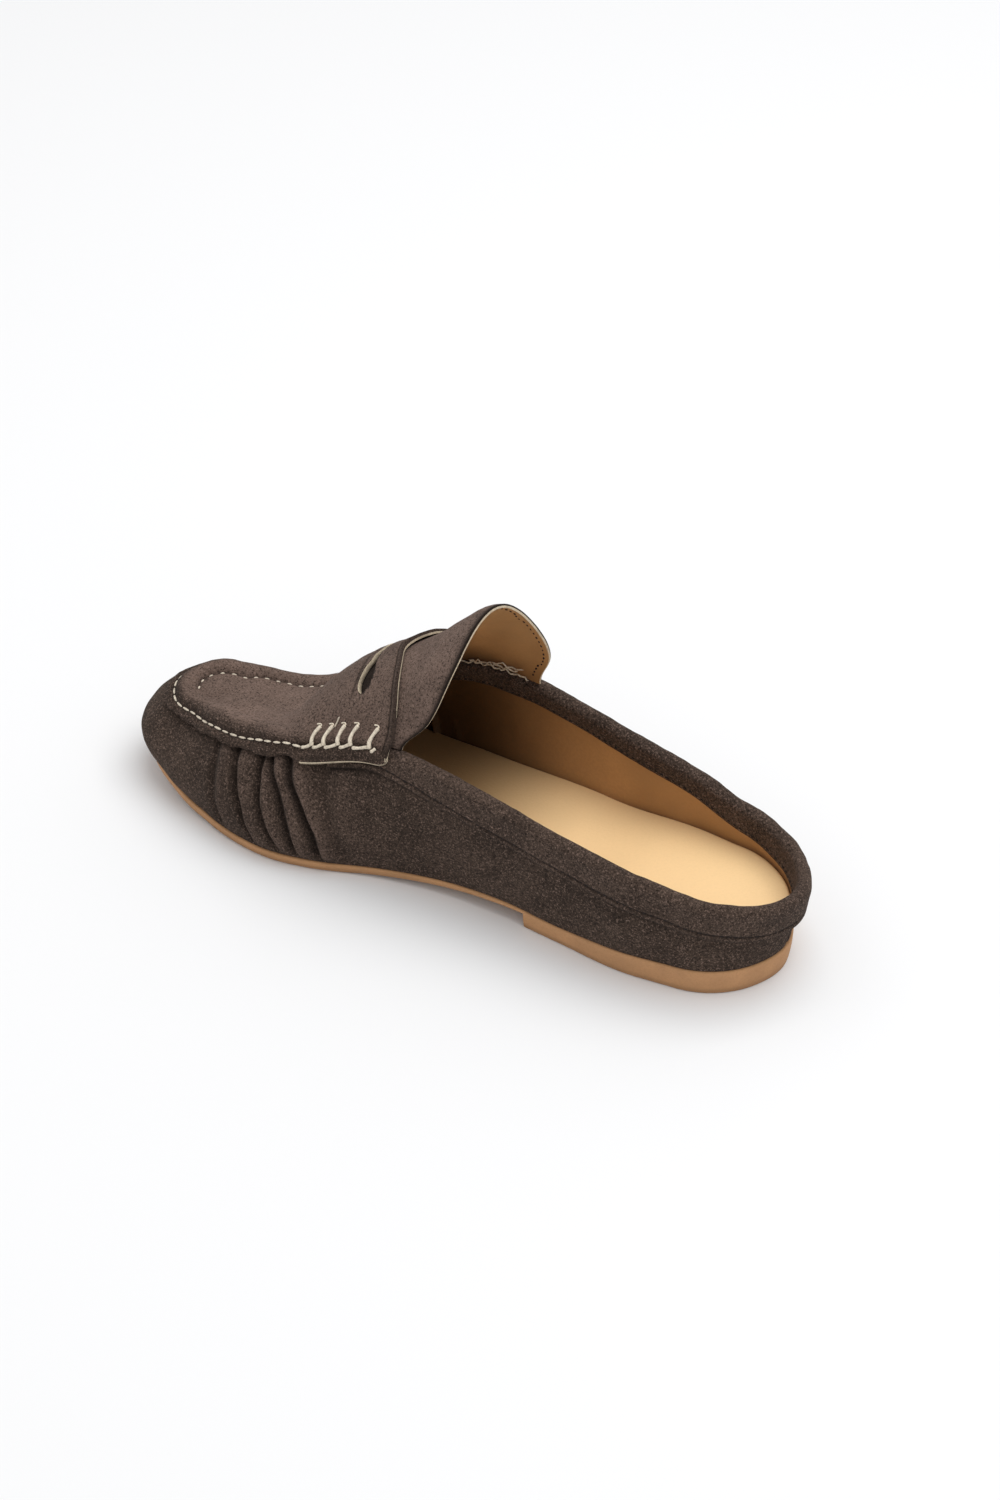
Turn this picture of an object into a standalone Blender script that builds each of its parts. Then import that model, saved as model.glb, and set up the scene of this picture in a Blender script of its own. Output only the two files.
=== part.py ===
"""Loafer mule for the right foot: moulded sole, footbed, pleated upper, padded collar, tongue and apron.

Metres, +Z up. The toe points to -X, the inner side of the foot is at -Y, and the shoe stands at z = 0.
"""

import math
from collections import namedtuple

import bmesh
import bpy
import numpy as np
from mathutils import Vector

# Sizes of the last
SHOE_LENGTH = 0.258
BALL_WIDTH = 0.0865
HEEL_WIDTH = 0.059
BACK_HEIGHT = 0.0336
INSTEP_HEIGHT = 0.0805
TOE_HEIGHT = 0.0305

# Sole and footbed
HEEL_HEIGHT = 0.006
HEEL_LENGTH = 0.090
SOLE_EDGE = 0.0042
TOE_SPRING = 0.0065
SOLE_TUCK = 0.0008
SOLE_ROUND = 0.0006
FOOTBED = 0.0043
FOOTBED_LIFT = 0.0078

# Upper, collar, tongue and apron
WALL = 0.002
LEDGE = 0.0006
GAP = 0.0003
CURVED_GAP = 0.0006
COLLAR_THICKNESS = 0.0062
COLLAR_EDGE = 0.0012
COLLAR_SKIRT_OUT = 0.0115
COLLAR_SKIRT_IN = 0.0085
TONGUE_THICKNESS = 0.0018
APRON_THICKNESS = 0.0018
LIP = 0.003
ROLL_HEIGHT = 0.0028
ROLL_WIDTH = 0.0095
STITCH_SINK = 0.0005
SLOT_WIDTH = 0.0026

# Sections round the last, from the back of the heel to the tip of the toe. A turn of 0 points back,
# 90 sideways and 180 forward. sway: middle of the section towards the inner side. inner, outer: from the
# middle to the sole edge. in_*: inner side, out_*: outer side. set: how far the upper's edge lies inside
# the sole edge. top: its height. lean: degrees of its slope. flare: bulge of the wall over the sole edge.
Section = namedtuple(
    "Section",
    "at turn sway inner outer in_set out_set in_top out_top in_lean out_lean flare steps",
)

# Widths in shares of HEEL_WIDTH, heights in shares of BACK_HEIGHT, all round one point
HEEL_SECTIONS = (
    Section(0.0, 0, 0.008, 0.508, 0.508, -0.062, -0.062, 1.05, 1.05, 97, 97, 0.025, 3),
    Section(0.0, 30, 0.008, 0.490, 0.490, -0.040, -0.030, 1.09, 1.04, 96, 96, 0.020, 3),
    Section(0.0, 60, 0.008, 0.486, 0.486, -0.012, 0.010, 1.16, 1.07, 94, 92, 0.020, 3),
    Section(0.0, 90, 0.008, 0.500, 0.500, 0.000, 0.020, 1.23, 1.14, 92, 90, 0.025, 2),
)

# Places between the heel's point and the toe's, widths of BALL_WIDTH, heights of INSTEP_HEIGHT
MIDDLE_SECTIONS = (
    Section(0.104, 90, -0.002, 0.369, 0.369, 0.000, 0.008, 0.550, 0.525, 90, 89, 0.02, 2),
    Section(0.234, 90, -0.032, 0.372, 0.372, 0.000, 0.003, 0.580, 0.565, 90, 86, 0.02, 2),
    Section(0.365, 90, -0.060, 0.373, 0.373, -0.007, -0.003, 0.628, 0.612, 90, 79, 0.03, 2),
    Section(0.495, 90, -0.080, 0.392, 0.392, -0.005, 0.015, 0.695, 0.650, 85, 74, 0.03, 3),
    Section(0.625, 90, -0.080, 0.437, 0.437, 0.060, 0.075, 0.690, 0.650, 68, 65, 0.03, 3),
    Section(0.755, 90, -0.043, 0.489, 0.489, 0.145, 0.145, 0.580, 0.500, 52, 48, 0.035, 6),
    Section(0.823, 90, -0.025, 0.495, 0.495, 0.150, 0.150, 0.535, 0.420, 38, 33, 0.04, 6),
    Section(0.885, 90, -0.016, 0.477, 0.477, 0.155, 0.150, 0.500, 0.345, 28, 25, 0.04, 6),
    Section(0.948, 90, -0.010, 0.442, 0.442, 0.142, 0.145, 0.475, 0.318, 25, 25, 0.045, 5),
)

# Widths in shares of BALL_WIDTH, heights in shares of TOE_HEIGHT, all round one point
TOE_SECTIONS = (
    Section(1.0, 90, -0.004, 0.399, 0.401, 0.140, 0.140, 1.18, 0.90, 22, 25, 0.060, 4),
    Section(1.0, 120, -0.004, 0.372, 0.352, 0.132, 0.130, 1.10, 1.02, 18, 20, 0.085, 3),
    Section(1.0, 150, -0.004, 0.410, 0.366, 0.118, 0.110, 1.07, 1.09, 15, 18, 0.110, 3),
    Section(1.0, 180, -0.004, 0.413, 0.413, 0.112, 0.112, 1.07, 1.07, 15, 15, 0.115, 3),
)

# Crest of the instep: at in shares of SHOE_LENGTH, height in shares of INSTEP_HEIGHT
CrestPoint = namedtuple("CrestPoint", "at height")
CREST = (
    CrestPoint(0.39, 1.51),
    CrestPoint(0.43, 1.42),
    CrestPoint(0.473, 1.34),
    CrestPoint(0.523, 1.20),
    CrestPoint(0.566, 1.055),
    CrestPoint(0.612, 0.945),
    CrestPoint(0.660, 0.83),
    CrestPoint(0.713, 0.665),
    CrestPoint(0.756, 0.475),
    CrestPoint(0.795, 0.430),
    CrestPoint(0.86, 0.440),
)

# Thickness of the sole's visible edge: at in shares of SHOE_LENGTH, thick in shares of SOLE_EDGE
EdgePoint = namedtuple("EdgePoint", "at thick")
EDGE = (
    EdgePoint(0.0, 1.12),
    EdgePoint(0.213, 0.81),
    EdgePoint(0.302, 0.43),
    EdgePoint(0.388, 0.64),
    EdgePoint(0.484, 0.76),
    EdgePoint(0.58, 0.90),
    EdgePoint(0.66, 1.0),
    EdgePoint(0.80, 1.05),
    EdgePoint(1.0, 1.19),
)
BALL_START = 0.64
BALL_END = 0.756

# Extra height of the footbed: at in shares of SHOE_LENGTH, lift in shares of FOOTBED_LIFT
LiftPoint = namedtuple("LiftPoint", "at lift")
FOOTBED_RISE = (
    LiftPoint(0.0, 1.0),
    LiftPoint(0.078, 1.0),
    LiftPoint(0.35, 0.46),
    LiftPoint(0.58, 0.12),
    LiftPoint(0.72, 0.0),
    LiftPoint(1.0, -0.05),
)

# Pleats of the wall below the apron: seam and foot are where the trough meets the apron and the sole,
# in shares of the way round from heel to toe. half is half its width and depth its depth, in FOLD.
# The first and last rows are where the wall is plain again.
FOLD = 0.0026
Fold = namedtuple("Fold", "seam foot half depth")
FOLDS = (
    Fold(0.560, 0.560, 1.0, 0.0),
    Fold(0.692, 0.634, 1.4, 1.0),
    Fold(0.715, 0.666, 1.2, 0.7),
    Fold(0.740, 0.697, 1.4, 0.85),
    Fold(0.771, 0.740, 1.5, 0.75),
    Fold(0.802, 0.785, 1.6, 0.4),
    Fold(0.860, 0.860, 1.0, 0.0),
)

# Where the pieces end, in shares of SHOE_LENGTH
THROAT_ROW = 9
TAB_FRONT = 0.69
COLLAR_TAPER = 0.44
COLLAR_END = 0.65
SLOT_AT = 0.640
SLOT_FOOT = 0.625
SLOT_FROM = 0.50

# Back edge of the saddle: over in shares of the way from the seam over to the crest
SaddlePoint = namedtuple("SaddlePoint", "over at")
SADDLE_EDGE = (
    SaddlePoint(0.0, 0.555),
    SaddlePoint(0.22, 0.556),
    SaddlePoint(0.45, 0.567),
    SaddlePoint(0.7, 0.583),
    SaddlePoint(1.0, 0.600),
)

# Free edge of the tongue, from the inner side over the crest to the outer side
TonguePoint = namedtuple("TonguePoint", "across at")
TONGUE_EDGE = (
    TonguePoint(-1.0, 0.545),
    TonguePoint(-0.75, 0.510),
    TonguePoint(-0.4, 0.490),
    TonguePoint(0.0, 0.476),
    TonguePoint(0.35, 0.451),
    TonguePoint(0.7, 0.432),
    TonguePoint(1.0, 0.458),
)

SADDLE_START = SADDLE_EDGE[0].at * SHOE_LENGTH
TAB_START = TAB_FRONT * SHOE_LENGTH

SOLE_STEPS = 3
WALL_STEPS = 7
TOP_STEPS = 4
APRON_STEPS = 27
CURVE_STEPS = 24
INNER, OUTER = 1, -1


def spline(knots, values, x):
    """Value at x of the smooth curve through the points, level outside them."""
    if x <= knots[0]:
        return values[0]
    if x >= knots[-1]:
        return values[-1]
    i = int(np.searchsorted(knots, x)) - 1
    steps = np.diff(knots)
    rises = np.diff(values) / steps

    def slope(k):
        if k == 0 or k == len(knots) - 1:
            return 0.0
        return (steps[k] * rises[k - 1] + steps[k - 1] * rises[k]) / (steps[k - 1] + steps[k])

    s = (x - knots[i]) / steps[i]
    start = (1 + 2 * s) * (1 - s) ** 2 * values[i] + s * (1 - s) ** 2 * steps[i] * slope(i)
    end = s * s * (3 - 2 * s) * values[i + 1] + s * s * (s - 1) * steps[i] * slope(i + 1)
    return start + end


def table_curve(rows, column, scale):
    """A function of the place along the shoe, read from a table of shares."""
    knots = np.array([row.at * SHOE_LENGTH for row in rows])
    values = np.array([getattr(row, column) * scale for row in rows])
    return lambda along: spline(knots, values, along)


def smooth(low, high, x):
    """Rises from 0 at low to 1 at high."""
    t = min(max((x - low) / (high - low), 0.0), 1.0)
    return t * t * (3 - 2 * t)


sole_edge = table_curve(EDGE, "thick", SOLE_EDGE)
crest_height = table_curve(CREST, "height", INSTEP_HEIGHT)
footbed_lift = table_curve(FOOTBED_RISE, "lift", FOOTBED_LIFT)


def metres(row, width, height, along):
    """A section's shares as metres, at its place along the shoe."""
    return row._replace(
        at=along,
        turn=math.radians(row.turn),
        sway=row.sway * width,
        inner=row.inner * width,
        outer=row.outer * width,
        in_set=row.in_set * width,
        out_set=row.out_set * width,
        in_top=row.in_top * height,
        out_top=row.out_top * height,
        in_lean=math.radians(row.in_lean),
        out_lean=math.radians(row.out_lean),
        flare=row.flare * width,
    )


def all_sections():
    heel_point = HEEL_SECTIONS[0].inner * HEEL_WIDTH
    toe_point = SHOE_LENGTH - TOE_SECTIONS[-1].inner * BALL_WIDTH
    rows = [metres(row, HEEL_WIDTH, BACK_HEIGHT, heel_point) for row in HEEL_SECTIONS]
    for row in MIDDLE_SECTIONS:
        along = heel_point + row.at * (toe_point - heel_point)
        rows.append(metres(row, BALL_WIDTH, INSTEP_HEIGHT, along))
    rows += [metres(row, BALL_WIDTH, TOE_HEIGHT, toe_point) for row in TOE_SECTIONS]
    return rows


SECTIONS = all_sections()


def path_knots():
    """How far round the shoe each section lies from the back of the heel."""
    knots = [0.0]
    for near, far in zip(SECTIONS[:-1], SECTIONS[1:]):
        reach = (near.inner + near.outer + far.inner + far.outer) / 4
        knots.append(knots[-1] + math.hypot(far.at - near.at, (far.turn - near.turn) * reach))
    return knots


PATH = np.array(path_knots())
HALF_WAY = PATH[-1]
HEEL_POINT = SECTIONS[0].at
TOE_POINT = SECTIONS[-1].at
HEEL_PATH = PATH[len(HEEL_SECTIONS) - 1]
THROAT = SECTIONS[THROAT_ROW].at
SWAY_KNOTS = np.array([row.at for row in SECTIONS[3:-3]])
SWAY_VALUES = np.array([row.sway for row in SECTIONS[3:-3]])


def round_the_shoe(inner_column, outer_column):
    """Knots and values once round the shoe and a little past the heel on each side."""
    inner = [getattr(row, inner_column) for row in SECTIONS]
    outer = [getattr(row, outer_column) for row in SECTIONS]
    knots = np.concatenate([PATH, 2 * HALF_WAY - PATH[-2::-1]])
    values = np.array(inner + outer[-2::-1])
    turn = 2 * HALF_WAY
    knots = np.concatenate([knots[-3:-1] - turn, knots, knots[1:3] + turn])
    values = np.concatenate([values[-3:-1], values, values[1:3]])
    return knots, values


REACH = round_the_shoe("inner", "outer")
INSET = round_the_shoe("in_set", "out_set")
TOP = round_the_shoe("in_top", "out_top")
LEAN = round_the_shoe("in_lean", "out_lean")
FLARE = round_the_shoe("flare", "flare")


def to_world(along, across, height):
    return Vector((SHOE_LENGTH / 2 - along, -across, height))


def sole_bottom(along):
    """Height of the sole's underside: heel, arch, flat ball and toe spring."""
    ball_start = BALL_START * SHOE_LENGTH
    ball_end = BALL_END * SHOE_LENGTH
    if along <= HEEL_LENGTH:
        return HEEL_HEIGHT
    if along < ball_start:
        t = (along - HEEL_LENGTH) / (ball_start - HEEL_LENGTH)
        return HEEL_HEIGHT * (1 - t) ** 1.6 * (1 + 1.2 * t)
    if along < ball_end:
        return 0.0
    return TOE_SPRING * ((along - ball_end) / (SHOE_LENGTH - ball_end)) ** 2


def sole_top(along):
    along = min(max(along, 0.0), SHOE_LENGTH)
    return sole_bottom(along) + sole_edge(along)


def footbed_top(along):
    along = min(max(along, 0.0), SHOE_LENGTH)
    return sole_top(along) + GAP + FOOTBED + footbed_lift(along)


def bezier(points):
    """Points of a cubic curve through reach and height, evenly spaced by its own parameter."""
    a, b, c, d = (np.array(point) for point in points)
    t = np.linspace(0, 1, CURVE_STEPS + 1)[:, None]
    return (1 - t) ** 3 * a + 3 * t * (1 - t) ** 2 * b + 3 * t * t * (1 - t) * c + t**3 * d


class Station:
    """One section of the last on one side, standing across the sole edge."""

    def __init__(self, path, side):
        self.path = path
        self.side = side
        loop = path if side == INNER else 2 * HALF_WAY - path
        self.at = float(np.interp(path, PATH, [row.at for row in SECTIONS]))
        self.turn = float(np.interp(path, PATH, [row.turn for row in SECTIONS]))
        self.sway = spline(SWAY_KNOTS, SWAY_VALUES, self.at)
        self.reach = spline(*REACH, loop)
        self.inset = spline(*INSET, loop)
        self.top = spline(*TOP, loop)
        self.lean = spline(*LEAN, loop)
        self.flare = spline(*FLARE, loop)
        self.wall = self.wall_curve()
        self.wall_length = lengths(self.wall)
        self.arch = None

    def along_at(self, reach):
        return self.at - reach * math.cos(self.turn)

    def place(self, reach, height):
        across = self.sway + self.side * reach * math.sin(self.turn)
        return to_world(self.along_at(reach), across, height)

    def edge(self):
        """Where the upper meets the sole, as reach and height."""
        reach = self.reach - LEDGE
        return reach, sole_top(self.along_at(reach)) + GAP

    def rim(self):
        return self.reach - self.inset, self.top

    def wall_curve(self):
        reach, low = self.edge()
        rim_reach, high = self.rim()
        rise = high - low
        handle = 0.38 * math.hypot(rise, self.inset + self.flare)
        out = rim_reach + handle * math.cos(self.lean)
        down = high - handle * math.sin(self.lean)
        middle = (reach + self.flare, low + 0.35 * rise)
        return bezier(((reach, low), middle, (out, down), (rim_reach, high)))

    def arch_curve(self):
        """From the rim over to the middle of the section, at the height of the crest."""
        rim_reach, low = self.rim()
        crest = crest_height(self.at)
        fore_slope = (crest_height(self.at) - crest_height(self.at - WALL)) / WALL
        side_slope = tilt(self.at)
        slope = -fore_slope * math.cos(self.turn) + self.side * side_slope * math.sin(self.turn)
        start = 0.35 * math.hypot(rim_reach, 1.2 * (crest - low))
        inward = (rim_reach - start * math.cos(self.lean), low + start * math.sin(self.lean))
        back = 0.45 * rim_reach
        over = (back, crest + back * slope)
        return bezier(((rim_reach, low), inward, over, (0.0, crest)))

    def with_arch(self):
        if self.arch is None:
            self.arch = self.arch_curve()
            self.arch_length = lengths(self.arch)
        return self

    def on_wall(self, share):
        """Reach and height at a share of the wall's length, from the sole up."""
        return along_curve(self.wall, self.wall_length, share * self.wall_length[-1])

    def from_rim(self, distance):
        """Reach and height at a distance from the rim: down the wall if it is negative."""
        if distance <= 0:
            return along_curve(self.wall, self.wall_length, self.wall_length[-1] + distance)
        self.with_arch()
        return along_curve(self.arch, self.arch_length, distance)

    def reach_inside(self, height, clearance):
        """Reach at a height of a line inside the wall's inner face."""
        along = np.gradient(self.wall, axis=0)
        along /= np.linalg.norm(along, axis=1)[:, None]
        depth = WALL + clearance
        inner = self.wall + depth * np.column_stack([-along[:, 1], along[:, 0]])
        return float(np.interp(height, inner[:, 1], inner[:, 0]))


def lengths(curve):
    steps = np.hypot(*np.diff(curve, axis=0).T)
    return np.concatenate([[0.0], np.cumsum(steps)])


def along_curve(curve, length, distance):
    reach = np.interp(distance, length, curve[:, 0])
    height = np.interp(distance, length, curve[:, 1])
    return float(reach), float(height)


def path_of(along):
    """Way round the shoe to a section that stands straight across."""
    return HEEL_PATH + along - HEEL_POINT


def tilt(along):
    """Slope across the crest, from the heights of the two rims."""
    path = path_of(min(along, TOE_POINT))
    inner = spline(*TOP, path) - spline(*TOP, 2 * HALF_WAY - path)
    span = spline(*REACH, path) + spline(*REACH, 2 * HALF_WAY - path)
    span -= spline(*INSET, path) + spline(*INSET, 2 * HALF_WAY - path)
    return inner / span


def station_paths(first, last, most=WALL_STEPS):
    """Ways round the shoe of the stations between two sections, with their steps."""
    paths = []
    for i in range(first, last):
        steps = min(SECTIONS[i].steps, most)
        for k in range(steps):
            paths.append(PATH[i] + (PATH[i + 1] - PATH[i]) * k / steps)
    paths.append(PATH[last])
    return paths


def new_surface():
    bm = bmesh.new()
    bm.verts.layers.float.new("under")
    bm.verts.layers.float.new("over")
    return bm


def add_grid(bm, points, side, under=None, over=None):
    """Faces over a grid of points, turned so that they face out on either side of the shoe."""
    under_layer = bm.verts.layers.float["under"]
    over_layer = bm.verts.layers.float["over"]
    verts = []
    for i, row in enumerate(points):
        line = []
        for j, point in enumerate(row):
            vert = bm.verts.new(point)
            vert[under_layer] = under[i][j] if under else 0.0
            vert[over_layer] = over[i][j] if over else 0.0
            line.append(vert)
        verts.append(line)
    for i in range(len(verts) - 1):
        for j in range(len(verts[0]) - 1):
            corners = [verts[i][j], verts[i + 1][j], verts[i + 1][j + 1], verts[i][j + 1]]
            if side == INNER:
                corners.reverse()
            bm.faces.new(corners)


def merge(bm):
    bmesh.ops.remove_doubles(bm, verts=bm.verts[:], dist=0.000001)
    bm.normal_update()


def thicken(surface):
    """A closed body between the under and the over distance from a surface, along its normals."""
    merge(surface)
    under = surface.verts.layers.float["under"]
    over = surface.verts.layers.float["over"]
    body = bmesh.new()
    outer = [body.verts.new(v.co + v.normal * v[over]) for v in surface.verts]
    inner = [body.verts.new(v.co + v.normal * v[under]) for v in surface.verts]
    surface.verts.index_update()
    for face in surface.faces:
        indices = [v.index for v in face.verts]
        body.faces.new([outer[i] for i in indices])
        body.faces.new([inner[i] for i in reversed(indices)])
    for edge in surface.edges:
        if not edge.is_boundary:
            continue
        loop = edge.link_loops[0]
        a = loop.vert.index
        b = loop.link_loop_next.vert.index
        body.faces.new([outer[b], outer[a], inner[a], inner[b]])
    surface.free()
    return body


def new_object(name, bm, material):
    mesh = bpy.data.meshes.new(name)
    bm.to_mesh(mesh)
    bm.free()
    mesh.shade_smooth()
    mesh.set_sharp_from_angle(angle=math.radians(40))
    mesh.materials.append(material)
    obj = bpy.data.objects.new(name, mesh)
    bpy.context.scene.collection.objects.link(obj)
    return obj


def new_material(name, colour, roughness):
    material = bpy.data.materials.new(name)
    material.use_nodes = True
    shader = material.node_tree.nodes["Principled BSDF"]
    shader.inputs["Base Color"].default_value = (*colour, 1.0)
    shader.inputs["Roughness"].default_value = roughness
    shader.inputs["Metallic"].default_value = 0.0
    return material


def suede():
    return new_material("suede", (0.062, 0.046, 0.040), 0.95)


def smooth_leather():
    return new_material("smooth_leather", (0.60, 0.36, 0.17), 0.5)


def sole_rubber():
    return new_material("sole_rubber", (0.46, 0.24, 0.12), 0.6)


def sole_profile(station, ground):
    """Reach and height from the middle of the underside round the edge to the middle of the top."""
    reach = station.reach
    low = ground(station.along_at(reach))
    high = sole_top(station.along_at(reach))
    tucked = reach - SOLE_TUCK
    rows = []
    for share in (0.0, 0.5):
        inside = share * tucked
        rows.append((inside, ground(station.along_at(inside))))
    rows.append((tucked - SOLE_ROUND, low))
    rows.append((tucked, low + SOLE_ROUND))
    rows.append((reach, high - SOLE_ROUND))
    rows.append((reach - SOLE_ROUND, high))
    for share in (0.5, 0.0):
        inside = share * tucked
        rows.append((inside, sole_top(station.along_at(inside))))
    return rows


def make_outsole(material):
    """Moulded unit: heel block, arched waist, flat ball and sprung toe in one piece."""
    bm = new_surface()
    breast_path = path_of(HEEL_LENGTH)

    def heel_ground(_along):
        return 0.0

    stations = station_paths(0, len(SECTIONS) - 1, SOLE_STEPS)
    paths = [(path, sole_bottom) for path in stations if path > breast_path]
    heel = [(path, heel_ground) for path in stations if path < breast_path]
    paths = heel + [(breast_path, heel_ground), (breast_path, sole_bottom)] + paths
    for side in (INNER, OUTER):
        grid = []
        for path, ground in paths:
            station = Station(path, side)
            grid.append([station.place(*row) for row in sole_profile(station, ground)])
        add_grid(bm, grid, side)
    merge(bm)
    return new_object("outsole", bm, material)


def make_insole(material):
    """Padded footbed, thicker under the heel, that fills the upper from wall to wall."""
    bm = new_surface()
    for side in (INNER, OUTER):
        grid = []
        for path in station_paths(0, len(SECTIONS) - 1, SOLE_STEPS):
            station = Station(path, side)
            low = station.edge()[1]
            high = footbed_top(station.along_at(station.reach - WALL))
            bevel = 0.25 * FOOTBED
            bottom = station.reach_inside(low, CURVED_GAP)
            shoulder = station.reach_inside(high - bevel, CURVED_GAP)
            shoulder = min(shoulder, station.reach_inside(high, CURVED_GAP))
            middle = station.reach_inside((low + high) / 2, CURVED_GAP)
            rows = [(0.0, sole_top(station.at) + GAP)]
            rows.append((0.5 * bottom, sole_top(station.along_at(0.5 * bottom)) + GAP))
            rows.append((bottom, low))
            rows.append((middle, (low + high) / 2))
            rows.append((shoulder, high - bevel))
            rows.append((shoulder - bevel, high))
            rows.append((0.5 * bottom, footbed_top(station.along_at(0.5 * bottom))))
            rows.append((0.0, footbed_top(station.at)))
            grid.append([station.place(*row) for row in rows])
        add_grid(bm, grid, side)
    merge(bm)
    return new_object("insole", bm, material)


def wall_path(path, share):
    """Way round the shoe at a share of the wall's height: the pleats lean towards the heel."""
    way = path / HALF_WAY
    if not FOLDS[0].seam < way < FOLDS[-1].seam:
        return path
    seams = np.array([fold.seam for fold in FOLDS])
    feet = np.array([fold.foot for fold in FOLDS])
    shift = spline(seams, feet - seams, way)
    return path + (1 - share) * shift * HALF_WAY


def fold_depth(path, share):
    """Depth of the pleats at a place of the seam and a share of the wall's height."""
    held = smooth(0.08, 0.42, share) * (1 - smooth(0.88, 1.0, share))
    depth = 0.0
    for fold in FOLDS:
        away = abs(path - fold.seam * HALF_WAY) / (fold.half * FOLD)
        if away < 1:
            depth += fold.depth * FOLD * (0.5 + 0.5 * math.cos(math.pi * away))
    return depth * held


def wall_point(path, side, share):
    station = Station(wall_path(path, share), side)
    return station.place(*station.on_wall(share))


def make_upper(material):
    """Hollow shell: a pleated wall all round, closed over the toe as far as the throat."""
    bm = new_surface()
    for side in (INNER, OUTER):
        wall, wall_out, wall_in = [], [], []
        for path in station_paths(0, len(SECTIONS) - 1):
            shares = [k / WALL_STEPS for k in range(WALL_STEPS + 1)]
            depths = [fold_depth(path, share) for share in shares]
            wall.append([wall_point(path, side, share) for share in shares])
            wall_out.append([-depth for depth in depths])
            wall_in.append([-depth - WALL for depth in depths])
        add_grid(bm, wall, side, wall_in, wall_out)
        top = []
        for path in station_paths(THROAT_ROW, len(SECTIONS) - 1):
            station = Station(path, side).with_arch()
            span = station.arch_length[-1]
            top.append([station.place(*station.from_rim(span * k / TOP_STEPS)) for k in range(TOP_STEPS + 1)])
        flat = [[0.0] * (TOP_STEPS + 1) for _ in top]
        thick = [[-WALL] * (TOP_STEPS + 1) for _ in top]
        add_grid(bm, top, side, thick, flat)
    return new_object("upper", thicken(bm), material)


def collar_profile(along):
    """Distance from the rim and offset from the wall's outer face, once round the folded strip."""
    radius = COLLAR_THICKNESS / 2
    middle = -WALL / 2
    narrow = smooth(COLLAR_TAPER * SHOE_LENGTH, SADDLE_EDGE[-1].at * SHOE_LENGTH, along)
    skirt = COLLAR_SKIRT_OUT * (1 - 0.45 * narrow)
    rows = [(-skirt, CURVED_GAP), (-skirt, CURVED_GAP + COLLAR_EDGE)]
    rows.append((-0.9 * skirt, CURVED_GAP + 1.15 * COLLAR_EDGE))
    rows.append((-0.4 * skirt, middle + 0.95 * radius))
    for k in range(7):
        angle = math.pi * k / 6
        rows.append((radius * math.sin(angle), middle + radius * math.cos(angle)))
    rows.append((-0.4 * COLLAR_SKIRT_IN, middle - 0.95 * radius))
    rows.append((-COLLAR_SKIRT_IN, -WALL - CURVED_GAP - COLLAR_EDGE))
    rows.append((-COLLAR_SKIRT_IN, -WALL - CURVED_GAP))
    rows.append((-0.5 * COLLAR_SKIRT_IN, -WALL - CURVED_GAP))
    rows.append((GAP, -WALL - CURVED_GAP))
    rows.append((GAP, CURVED_GAP))
    rows.append((-0.5 * skirt, CURVED_GAP))
    return rows


def beside_wall(station, distance, offset):
    """A point at a distance along the wall's line from the rim and an offset out from its face."""
    step = WALL / 4
    low = min(distance, 0.0)
    above = np.array(station.from_rim(min(low + step, 0.0)))
    below = np.array(station.from_rim(min(low, -step)))
    up = (above - below) / np.linalg.norm(above - below)
    reach, height = np.array(station.from_rim(low)) + up * max(distance, 0.0)
    return station.place(reach + up[1] * offset, height - up[0] * offset)


def make_collar(material):
    """Padded strip folded over the upper's edge, from saddle to saddle round the heel."""
    end = path_of(COLLAR_END * SHOE_LENGTH)
    paths = [path for path in station_paths(0, len(SECTIONS) - 1) if path < end - WALL / 2] + [end]
    stations = [Station(path, OUTER) for path in reversed(paths)]
    stations += [Station(path, INNER) for path in paths[1:]]
    bm = bmesh.new()
    rings = []
    for station in stations:
        profile = collar_profile(station.at)
        ring = [beside_wall(station, distance, offset) for distance, offset in profile]
        rings.append([bm.verts.new(point) for point in ring])
    for near, far in zip(rings[:-1], rings[1:]):
        for k in range(len(near)):
            after = (k + 1) % len(near)
            bm.faces.new([near[k], near[after], far[after], far[k]])
    bm.faces.new(list(reversed(rings[0])))
    bm.faces.new(rings[-1])
    bm.normal_update()
    return new_object("collar", bm, material)


def arch_point(along, side, share):
    """A point of the last over the instep: share 0 is the rim, 1 the crest."""
    station = Station(path_of(along), side).with_arch()
    return station.place(*station.from_rim(share * station.arch_length[-1]))


def make_tongue(material):
    """Arched leather tongue under the saddle, with a free edge that stands over the opening."""
    bm = new_surface()
    knots = np.array([row.across for row in TONGUE_EDGE])
    values = np.array([row.at for row in TONGUE_EDGE])
    front = THROAT - GAP
    seat = COLLAR_THICKNESS / 2 + 2 * GAP
    columns = 7
    rows = 8
    for side in (INNER, OUTER):
        grid = []
        for j in range(columns + 1):
            share = j / columns
            back = SHOE_LENGTH * spline(knots, values, -side * (1 - share))
            line = []
            for i in range(rows + 1):
                along = front + (back - front) * i / rows
                station = Station(path_of(along), side).with_arch()
                span = station.arch_length[-1] - seat
                line.append(station.place(*station.from_rim(seat + span * share)))
            grid.append(line)
        flat = [[0.0] * (rows + 1) for _ in grid]
        thick = [[-TONGUE_THICKNESS] * (rows + 1) for _ in grid]
        add_grid(bm, grid, side, thick, flat)
    return new_object("tongue", thicken(bm), material)


def lip_width(along):
    """How far the apron hangs below the seam: a lip round the toe, a rounded tab at the saddle."""
    tab = 1.0 - smooth(TAB_START, TAB_START + 2 * LIP, along)
    level = smooth(SADDLE_START, TAB_START, along)
    corner = smooth(SADDLE_START - LIP, SADDLE_START + LIP, along)
    return LIP * (1 + 0.6 * tab * level) * corner


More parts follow.
